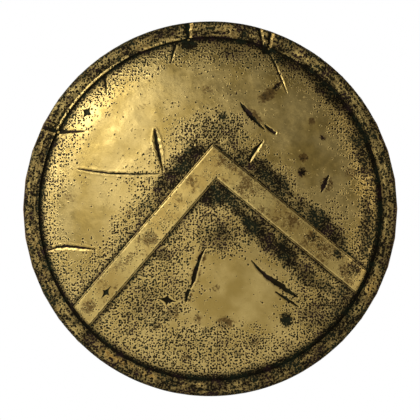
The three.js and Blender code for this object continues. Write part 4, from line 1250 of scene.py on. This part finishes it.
armband = {
    "halfSpan": 58 * mm,
    "height": 84 * mm,
    "halfWidth": 52 * mm,
    "sheet": 1.8 * mm,
    "sheetRound": 0.5 * mm,
    "roll": 2.6 * mm,
    "rollSides": 12,
    "waist": 0.16,
    "flare": 0.10,
    "footEnd": 110 * mm,
    "footHalf": 49 * mm,
    "footCorner": 13 * mm,
    "bend": 7 * mm,
    "archSteps": 84,
    "bendSteps": 8,
    "footSteps": 16,
    # distances in from an edge, and how far the sheet is pushed out there, in millimetres
    "ribs": [(0, 0), (3.5, 0), (7.0, 0), (7.8, 0.35), (8.6, 0.75), (9.4, 0.75), (10.2, 0.35), (11.0, 0),
             (14.0, 0), (20.0, 0), (28.0, 0), (36.0, 0), (44.0, 0)],
    "rivets": [(x * mm, side * z * mm) for side in (1, -1) for z in (71, 97) for x in (-31, 31)],
}
armMiddleY = layerY(0, depths["armMiddle"])


def bendStart():
    angle = 0.1
    for _ in range(20):
        z = armband["halfSpan"] * cos(angle)
        lift = layerY(z, depths["foot"]) + armband["bend"] - armMiddleY
        angle = asin(lift / armband["height"])
    return angle


archStart = bendStart()


# Stations from the upper foot's end to the lower one's: where along, how high over the layer, arch angle
def armStations():
    foot, bend, arch = armband["footSteps"], armband["bendSteps"], armband["archSteps"]
    bendEnd = armband["halfSpan"] * cos(archStart) + armband["bend"]
    half = [(armband["footEnd"] + (bendEnd - armband["footEnd"]) * step / foot, 0.0, None)
            for step in range(foot)]
    for turn in [(pi / 2) * step / bend for step in range(bend)]:
        half.append((bendEnd - armband["bend"] * sin(turn), armband["bend"] * (1 - cos(turn)), None))
    middle = [(None, None, archStart + (pi - 2 * archStart) * step / arch) for step in range(arch + 1)]
    return half + middle + [(-z, lift, None) for z, lift, _ in reversed(half)]


def flareAt(x):
    return 1 + armband["flare"] * x / (2 * armband["halfWidth"])


def fromRoot(angle):
    return min(angle - archStart, pi - archStart - angle)


def archPoint(x, angle):
    flare = flareAt(x)
    z = armband["halfSpan"] * cos(angle) * flare
    y = armMiddleY + armband["height"] * sin(angle) * flare
    rootZ = armband["halfSpan"] * cos(archStart) * flare
    rootY = armMiddleY + armband["height"] * sin(archStart) * flare
    join = layerY(hypot(x, rootZ), depths["foot"]) + armband["bend"] - rootY
    return Vector((x, y + join * fall(0, 0.5, fromRoot(angle)), z))


def bandPoint(x, station):
    z, lift, angle = station
    if angle is not None:
        return archPoint(x, angle)
    z *= 1 + (flareAt(x) - 1) * fall(armband["halfSpan"], armband["footEnd"], abs(z))
    return Vector((x, layerY(hypot(x, z), depths["foot"]) + lift, z))


def archHalf(angle):
    return armband["halfWidth"] * (1 - armband["waist"] * (1 - sin(angle)))


# Half the sheet's width at a station: waisted on the arch, rounded at the foot's corners
def halfAt(station):
    z, lift, angle = station
    if angle is not None:
        return archHalf(angle)
    corner = armband["footCorner"]
    into = (abs(z) - (armband["footEnd"] - corner)) / corner
    if into > 0:
        return armband["footHalf"] - corner * (1 - sqrt(max(1 - into, 0))) ** 2
    share = rise(0, 1, lift / armband["bend"])
    return armband["footHalf"] + (archHalf(archStart) - armband["footHalf"]) * share


# Columns of the sheet: share of the half width, and how far it is pushed out
def armColumns():
    left = [(off * mm / armband["halfWidth"] - 1, push) for off, push in armband["ribs"]]
    return left + [(0, 0)] + [(-share, push) for share, push in reversed(left)]


stations = armStations()


# The way through the sheet, towards one of its sides
def throughSheet(step, x):
    before = bandPoint(x, stations[max(step - 1, 0)])
    after = bandPoint(x, stations[min(step + 1, len(stations) - 1)])
    across = bandPoint(x + mm, stations[step]) - bandPoint(x - mm, stations[step])
    return across.cross(after - before).normalized()


outerSide = 1 if throughSheet(len(stations) // 2, 0).y > 0 else -1


def outward(step, x):
    return throughSheet(step, x) * outerSide


# A rolled edge: a bar along one side of the arch, growing out of the bend
def addRoll(bm, side):
    places, radii = [], []
    for step, station in enumerate(stations):
        _, lift, angle = station
        if angle is None and lift < 0.4 * armband["bend"]:
            continue
        swell = 0.75 + 0.25 * rise(0, 0.25, 0 if angle is None else fromRoot(angle))
        grown = 1 if angle is not None else 0.5 + 0.5 * lift / armband["bend"]
        radius = armband["roll"] * min(grown, swell)
        x = side * halfAt(station)
        places.append(bandPoint(x, station) + outward(step, x) * radius)
        radii.append(radius)
    drawBar(bm, places, radii, armband["rollSides"])


def makeArmband():
    columns = armColumns()
    bm = bmesh.new()
    bmesh.ops.create_grid(bm, x_segments=len(stations) - 1, y_segments=len(columns) - 1, size=1)
    soiled = bm.verts.layers.float.new("grime")
    for vert in bm.verts:
        step = round((vert.co.x + 1) / 2 * (len(stations) - 1))
        share, push = columns[round((vert.co.y + 1) / 2 * (len(columns) - 1))]
        _, lift, angle = stations[step]
        x = share * halfAt(stations[step])
        onArch = 1 if angle is not None else rise(0, armband["bend"], lift)
        push = onArch * (push + 0.22 * lumps(x, step * 3 * mm, 0.015, 62))
        vert.co = bandPoint(x, stations[step]) + outward(step, x) * push * mm
        atEdge = rise(0.90, 0.97, abs(share)) + rise(0.10, 0.106, abs(vert.co.z)) * (1 - onArch)
        fromRivet = min(hypot(vert.co.x - rx, vert.co.z - rz) for rx, rz in armband["rivets"])
        vert[soiled] = min(0.8 * atEdge + 0.9 * fall(4.5 * mm, 9 * mm, fromRivet), 1)
    thicken(bm, armband["sheet"], armband["sheetRound"])
    addRoll(bm, 1)
    addRoll(bm, -1)
    addFitting("armband_bronze", bm, "armband")


# The leather inside the arch, puffed a little between two sewn rows

armLeather = {
    "gap": 0.3 * mm,
    "thick": 1.6 * mm,
    "edgeRound": 0.45 * mm,
    "inset": 0.6 * mm,
    "steps": 90,
    "columns": 30,
    "puff": 0.5 * mm,
    "seamDepth": 0.5 * mm,
    "seam": 0.87,               # where the rows lie, as a share of the half width
    "stitchStep": 6.6 * mm,
    "stitchLift": 0.3 * mm,
}
leatherStart = asin((layerY(armband["halfSpan"], depths["foot"]) + armLeather["inset"] - armMiddleY)
                    / armband["height"])


# A place inside the arch, a distance in from the sheet, with the way in and the way along
def insideArch(share, around, off):
    angle = leatherStart + (pi - 2 * leatherStart) * around
    x = share * (archHalf(angle) - armband["roll"] - armLeather["inset"])
    place = archPoint(x, angle)
    ahead = archPoint(x, angle + 0.01) - archPoint(x, angle - 0.01)
    across = archPoint(x + mm, angle) - archPoint(x - mm, angle)
    normal = ahead.cross(across).normalized()
    if normal.dot(Vector((0, armMiddleY + 20 * mm, 0)) - place) < 0:
        normal = -normal
    return place + normal * off, normal, ahead.normalized()


def makeArmLeather():
    bm = bmesh.new()
    bmesh.ops.create_grid(bm, x_segments=armLeather["steps"], y_segments=armLeather["columns"], size=1)
    surface = armLeather["gap"] + armLeather["thick"]
    for vert in bm.verts:
        share, around = vert.co.y, (vert.co.x + 1) / 2
        angle = leatherStart + (pi - 2 * leatherStart) * around
        puff = armLeather["puff"] * fall(0.80, 1.0, abs(share))
        seam = armLeather["seamDepth"] * hump(abs(share) - armLeather["seam"], 0.03)
        wave = 0.25 * mm * lumps(share * 0.05, angle * 0.07, 0.012, 61)
        vert.co = insideArch(share, around, surface + puff - seam + wave)[0]
    thicken(bm, armLeather["thick"], armLeather["edgeRound"])
    addObject("armband_leather", bm, gripLeather, "armband_lining")
    stitches = bmesh.new()
    count = round(pi * 0.5 * (armband["halfSpan"] + armband["height"]) / armLeather["stitchStep"])
    for share in (-armLeather["seam"], armLeather["seam"]):
        for step in range(1, count):
            place, normal, ahead = insideArch(share, step / count, surface + armLeather["stitchLift"])
            addStitch(stitches, place, ahead, normal)
    addObject("armband_stitches", stitches, stitchThread)


# The pointed plates under the armband's feet

leaf = {"start": 51.8 * mm, "length": 112 * mm, "half": 61 * mm, "thick": 1.4 * mm, "cells": 44}


def leafOutline(side):
    tip = leaf["start"] + leaf["length"]

    # from the unit disc back to a square of cells, then to the leaf
    def place(a, b):
        stretch = max(hypot(a, b), 1e-9) / max(abs(a), abs(b), 1e-9)
        t = 1 - sqrt(max((1 - b * stretch) / 2, 0))
        x = a * stretch * leaf["half"] * (1 - t * t)
        z = leaf["start"] * (1 - t) ** 2 + 2 * t * (1 - t) * (leaf["start"] + 2 * tip) / 3 + tip * t * t
        return x, side * z
    return place


sides = {"upper": 1, "lower": -1}
for name, side in sides.items():
    addFitting("armband_leaf_" + name, bowlPlate(leaf["cells"], leafOutline(side), leaf["thick"]),
               "armband_plate_" + name)
makeLining()
makeStitches()
makeArmband()
makeArmLeather()
for index, (x, z) in enumerate(armband["rivets"]):
    addRivet("armband", index + 1, x, z, depths["foot"] + armband["sheet"])
print("lining and armband")


# The handgrip, its brackets and rivets. Its own directions stand on the hinge: off the lining, uphill, up

grip = {
    "axis": Vector((-314.5408, 16.0249, 0)) * mm,
    "off": Vector((0.2306, 0.9731, 0)).normalized(),
    "reach": 26 * mm,
    "rod": 3.5 * mm,
    "rodSides": 16,
    "foot": 71 * mm,
    "head": 59 * mm,
    "end": 95 * mm,
    "bend": 8 * mm,
    "knob": 5.4 * mm,
    "length": 86 * mm,
    "leatherR": 11.1 * mm,
    "leatherIn": 8.95 * mm,
    "leatherSteps": 130,
    "swell": 1.6 * mm,
    "wrapStep": 9.5 * mm,
    "wrapRise": 1.0 * mm,
}
gripUphill = -grip["off"].cross(Vector((0, 0, 1))).normalized()


def gripPlace(off, uphill, z):
    return grip["axis"] + grip["off"] * off + gripUphill * uphill + Vector((0, 0, z))


# Places through corners, each one rounded
def roundedLine(corners, cut, steps=8):
    line = [corners[0]]
    for before, corner, after in zip(corners, corners[1:], corners[2:]):
        start = corner + (before - corner).normalized() * cut
        end = corner + (after - corner).normalized() * cut
        for t in [step / steps for step in range(steps + 1)]:
            line.append(start * (1 - t) ** 2 + corner * 2 * t * (1 - t) + end * t * t)
    return line + [corners[-1]]


def makeBail():
    upper = [(0, grip["end"]), (0, grip["foot"]), (grip["reach"], grip["head"])]
    corners = [gripPlace(off, 0, z) for off, z in upper + [(off, -z) for off, z in reversed(upper)]]
    places = roundedLine(corners, grip["bend"])
    bm = bmesh.new()
    drawBar(bm, places, [grip["rod"]] * len(places), grip["rodSides"])
    for end in (corners[0], corners[-1]):
        bmesh.ops.create_uvsphere(bm, u_segments=20, v_segments=12, radius=grip["knob"],
                                  matrix=Matrix.Translation(end))
    addFitting("grip_bail_bronze", bm, "grip_bail", "handgrip")


# A ring turned round the bail's straight run, from a closed line of (radius, z) points
def gripRing(section, steps):
    middle = gripPlace(grip["reach"], 0, 0)
    points = [middle + grip["off"] * r + Vector((0, 0, z)) for r, z in section]
    return turned(points, True, steps, middle, (0, 0, 1)), middle


# The leather wound round the grip: each turn of the strip laps over the one before
def makeGripLeather():
    outer, inner = [], []
    for step in range(grip["leatherSteps"] + 1):
        share = 2 * step / grip["leatherSteps"] - 1
        swell = grip["swell"] * (1 - share * share)
        outer.append((grip["leatherR"] + swell, share * grip["length"] / 2))
        if step % 13 == 0:
            inner.append((grip["leatherIn"] + swell, share * grip["length"] / 2))
    bm, middle = gripRing(outer + inner[::-1], 56)
    for vert in bm.verts:
        out = vert.co - middle
        z, out.z = out.z, 0
        if out.length < grip["leatherR"] - 0.1 * mm:
            continue
        turn = atan2(out.dot(gripUphill), out.dot(grip["off"])) / (2 * pi)
        share = (z / grip["wrapStep"] + turn) % 1
        lap = grip["wrapRise"] * (share - 0.5) * rise(0, 0.08, share)
        vert.co += out.normalized() * lap * fall(0.40, 0.5, abs(z) / grip["length"])
    addObject("grip_leather_wrap", bm, gripLeather, "grip_leather", "handgrip")


# The ferrules: how far the outline lies in from the radius, and how far from either end, in millimetres
ferrule = {
    "near": 43.3 * mm,
    "length": 6 * mm,
    "radius": 10 * mm,
    "bore": 3.9 * mm,
    "steps": 40,
    "nearEnd": [(1.2, 0), (0.2, 0.5), (0, 1.2), (0.3, 2.0), (1.0, 2.6)],
    "farEnd": [(1.0, 2.6), (0.4, 2.0), (0.2, 1.2), (0.8, 0.4), (2.0, 0)],
}


def makeFerrule(name, side):
    outline = [(inset, z * mm) for inset, z in ferrule["nearEnd"]]
    outline += [(inset, ferrule["length"] - z * mm) for inset, z in ferrule["farEnd"]]
    section = [(ferrule["bore"], 0)] + [(ferrule["radius"] - inset * mm, z) for inset, z in outline]
    section.append((ferrule["bore"], ferrule["length"]))
    bm, _ = gripRing([(r, side * (ferrule["near"] + z)) for r, z in section], ferrule["steps"])
    addFitting("grip_ferrule_bronze_" + name, bm, "grip_ferrule_" + name, "handgrip")


# The brackets: a plate with rounded ends and a lug, a ring round the eye that runs down into the plate
bracket = {
    "z": 84 * mm,
    "long": 50 * mm,
    "wide": 24 * mm,
    "thick": 1.8 * mm,
    "cells": 20,
    "hole": 4.1 * mm,
    "outer": 9.6 * mm,
    "eyeThick": 8 * mm,
    "height": 15 * mm,
    "half": 9 * mm,
    "leaves": radians(115),     # where the lug leaves the ring, and where it meets the plate
    "meets": radians(150),
    "steps": 48,
    "edgeRound": 0.7 * mm,
    "rivetSpread": 32 * mm,
}
bracketX = grip["axis"].x - grip["off"].x * bracket["height"]


def lugOutline(angle):
    turn = min(angle, 2 * pi - angle)
    side = 1 if angle < pi else -1
    leaves, meets = bracket["leaves"], bracket["meets"]
    if turn <= leaves:
        return cos(angle) * bracket["outer"], sin(angle) * bracket["outer"]
    if turn >= meets:
        return -bracket["height"], side * bracket["half"] * (pi - turn) / (pi - meets)
    start = Vector((cos(leaves), side * sin(leaves))) * bracket["outer"]
    end = Vector((-bracket["height"], side * bracket["half"]))
    return start.lerp(end, (turn - leaves) / (meets - leaves))


def eyeOutline(angle):
    return cos(angle) * bracket["hole"], sin(angle) * bracket["hole"]


def makeBracket(name, side):
    z = side * bracket["z"]

    def stadium(a, b):
        along = a * bracket["wide"] / 2 + (bracket["long"] - bracket["wide"]) / 2 * max(min(a * 4, 1), -1)
        return bracketX + along * grip["off"].y, z + b * bracket["wide"] / 2

    bm = bowlPlate(bracket["cells"], stadium, bracket["thick"])
    lug = bmesh.new()
    for outline in (lugOutline, eyeOutline):
        ring = bmesh.ops.create_circle(lug, segments=bracket["steps"], radius=1)["verts"]
        for step, vert in enumerate(ring):
            vert.co = gripPlace(*outline(2 * pi * step / bracket["steps"]), z - bracket["eyeThick"] / 2)
    bmesh.ops.bridge_loops(lug, edges=lug.edges[:])
    made = bmesh.ops.extrude_face_region(lug, geom=lug.faces[:])["geom"]
    raised = [part for part in made if isinstance(part, bmesh.types.BMVert)]
    bmesh.ops.translate(lug, verts=raised, vec=(0, 0, bracket["eyeThick"]))
    roundEdges(lug, bracket["edgeRound"], 3)
    joinTo(bm, lug)
    addFitting("grip_bracket_bronze_" + name, bm, "grip_bracket_" + name)


makeBail()
makeGripLeather()
for index, (name, side) in enumerate(sides.items()):
    makeFerrule(name, side)
    makeBracket(name, side)
    for number, along in ((1, -1), (2, 1)):
        x = bracketX + along * bracket["rivetSpread"] / 2 * grip["off"].y
        addRivet("grip", 2 * index + number, x, side * bracket["z"], depths["plate"] + bracket["thick"])
print("handgrip")


# Cord loops: a wire arch on a round base

loop = {
    "count": 6,
    "first": radians(30),
    "radius": 367 * mm,
    "base": 11.5 * mm,
    "baseThick": 1.7 * mm,
    "baseCells": 12,
    "half": 8 * mm,
    "leg": 6 * mm,
    "wire": 2 * mm,
    "wireSides": 12,
    "legSwell": [1.35, 1.05],     # the wire's legs thicken towards the base
    "archSteps": 16,
}


def makeLoop(index):
    angle = loop["first"] + 2 * pi * index / loop["count"]
    seat = seatAt(loop["radius"] * cos(angle), loop["radius"] * sin(angle), depths["plate"])
    uphill, around = seat.col[0].to_3d(), seat.col[2].to_3d()

    def disc(a, b):
        place = seat.translation + uphill * a * loop["base"] + around * b * loop["base"]
        return place.x, place.z

    leg = [(-loop["half"], 0), (-loop["half"], 0.5 * loop["leg"])]
    arch = [(-cos(turn) * loop["half"], loop["leg"] + sin(turn) * loop["half"])
            for turn in [pi * step / loop["archSteps"] for step in range(loop["archSteps"] + 1)]]
    places = leg + arch + [(-along, up) for along, up in reversed(leg)]
    swell = loop["legSwell"] + [1] * len(arch) + loop["legSwell"][::-1]
    bm = bowlPlate(loop["baseCells"], disc, loop["baseThick"])
    drawBar(bm, [seat @ Vector((along, up, 0)) for along, up in places],
            [loop["wire"] * share for share in swell], loop["wireSides"])
    addFitting("cord_loop_bronze_%d" % (index + 1), bm, "cord_loop_%d" % (index + 1))


for index in range(loop["count"]):
    makeLoop(index)
print("loops")


# The CAD nodes' own finish, also for those that stay: the laths and the grip's core are wood

finishes = {"core": poplarWood, "grip_core": poplarWood, "bowl_lining": liningLeather,
            "armband_lining": gripLeather, "grip_leather": gripLeather}
for name, node in nodes.items():
    finish = next((finishes[start] for start in finishes if name.startswith(start)), fittingBronze)
    node.data.materials.clear()
    node.data.materials.append(finish)


# Camera, light, floor

studio = {
    "distance": 10.0,
    "sensor": 36.0,
    "across": 1.0018,
    "floorZ": -0.85,
    "floorHalf": 6.0,
    "dim": 0.14,
    "warm": (1.0, 0.90, 0.74),
    "soft": (1.0, 0.965, 0.89),
    "white": (1, 1, 1),
}
# Each lamp: place, size, power, colour
lamps = {
    "key": ((-2.2, -2.4, 1.8), 1.8, 52, "white"),
    "side": ((-2.6, -0.7, 2.2), 2.0, 55, "white"),
    "left": ((-2.9, 0.2, 0.5), 2.2, 34, "white"),
    "right": ((2.9, 0.0, 0.2), 2.2, 26, "warm"),
    "fill": ((-0.9, -4.2, 0.5), 2.4, 31, "soft"),
    "behind": ((1.4, 3.0, 1.6), 2.0, 70, "white"),
}


def addCamera():
    data = bpy.data.cameras.new("camera")
    data.sensor_width = studio["sensor"]
    data.lens = studio["sensor"] * studio["distance"] / studio["across"]
    camera = bpy.data.objects.new("camera", data)
    camera.location = (0, -studio["distance"], 0)
    camera.rotation_euler = (pi / 2, 0, 0)
    scale = 1 / photo["size"]
    data.shift_x = (photo["size"] / 2 - photo["centreX"]) * scale
    data.shift_y = (photo["centreY"] - photo["size"] / 2) * scale
    bpy.context.scene.collection.objects.link(camera)
    bpy.context.scene.camera = camera


def addLamp(name, place, size, power, colour):
    data = bpy.data.lights.new(name, "AREA")
    data.shape = "DISK"
    data.size = size
    data.energy = power
    data.color = studio[colour]
    lamp = bpy.data.objects.new(name, data)
    lamp.location = place
    lamp.rotation_euler = (-Vector(place)).to_track_quat("-Z", "Y").to_euler()
    lamp.visible_camera = False
    bpy.context.scene.collection.objects.link(lamp)


def addFloor():
    bm = bmesh.new()
    bmesh.ops.create_grid(bm, x_segments=1, y_segments=1, size=studio["floorHalf"])
    bmesh.ops.translate(bm, verts=bm.verts, vec=(0, 0, studio["floorZ"]))
    mesh = bpy.data.meshes.new("floor")
    bm.to_mesh(mesh)
    bm.free()
    floor = bpy.data.objects.new("floor", mesh)
    bpy.context.scene.collection.objects.link(floor)
    material, tree, _ = newMaterial("pale_floor")
    setShader(tree, Base_Color=(0.82, 0.82, 0.81, 1), Roughness=0.9)
    mesh.materials.append(material)


# White to the camera, dim to everything else
def addWorld():
    world = bpy.data.worlds.new("studio")
    bpy.context.scene.world = world
    world.use_nodes = True
    tree = world.node_tree
    tree.nodes.clear()
    seen = addNode(tree, "ShaderNodeBackground", None, Color=(1, 1, 1, 1), Strength=1.0)
    lit = addNode(tree, "ShaderNodeBackground", None, Color=(1, 1, 1, 1), Strength=studio["dim"])
    isSeen = addNode(tree, "ShaderNodeLightPath").outputs["Is Camera Ray"]
    mixed = addNode(tree, "ShaderNodeMixShader", None, i0=isSeen, i1=lit.outputs[0], i2=seen.outputs[0])
    addNode(tree, "ShaderNodeOutputWorld", None, Surface=mixed.outputs[0])
    bpy.context.scene.view_settings.view_transform = "Standard"


addCamera()
addFloor()
for name, settings in lamps.items():
    addLamp(name, *settings)
addWorld()
print("studio")
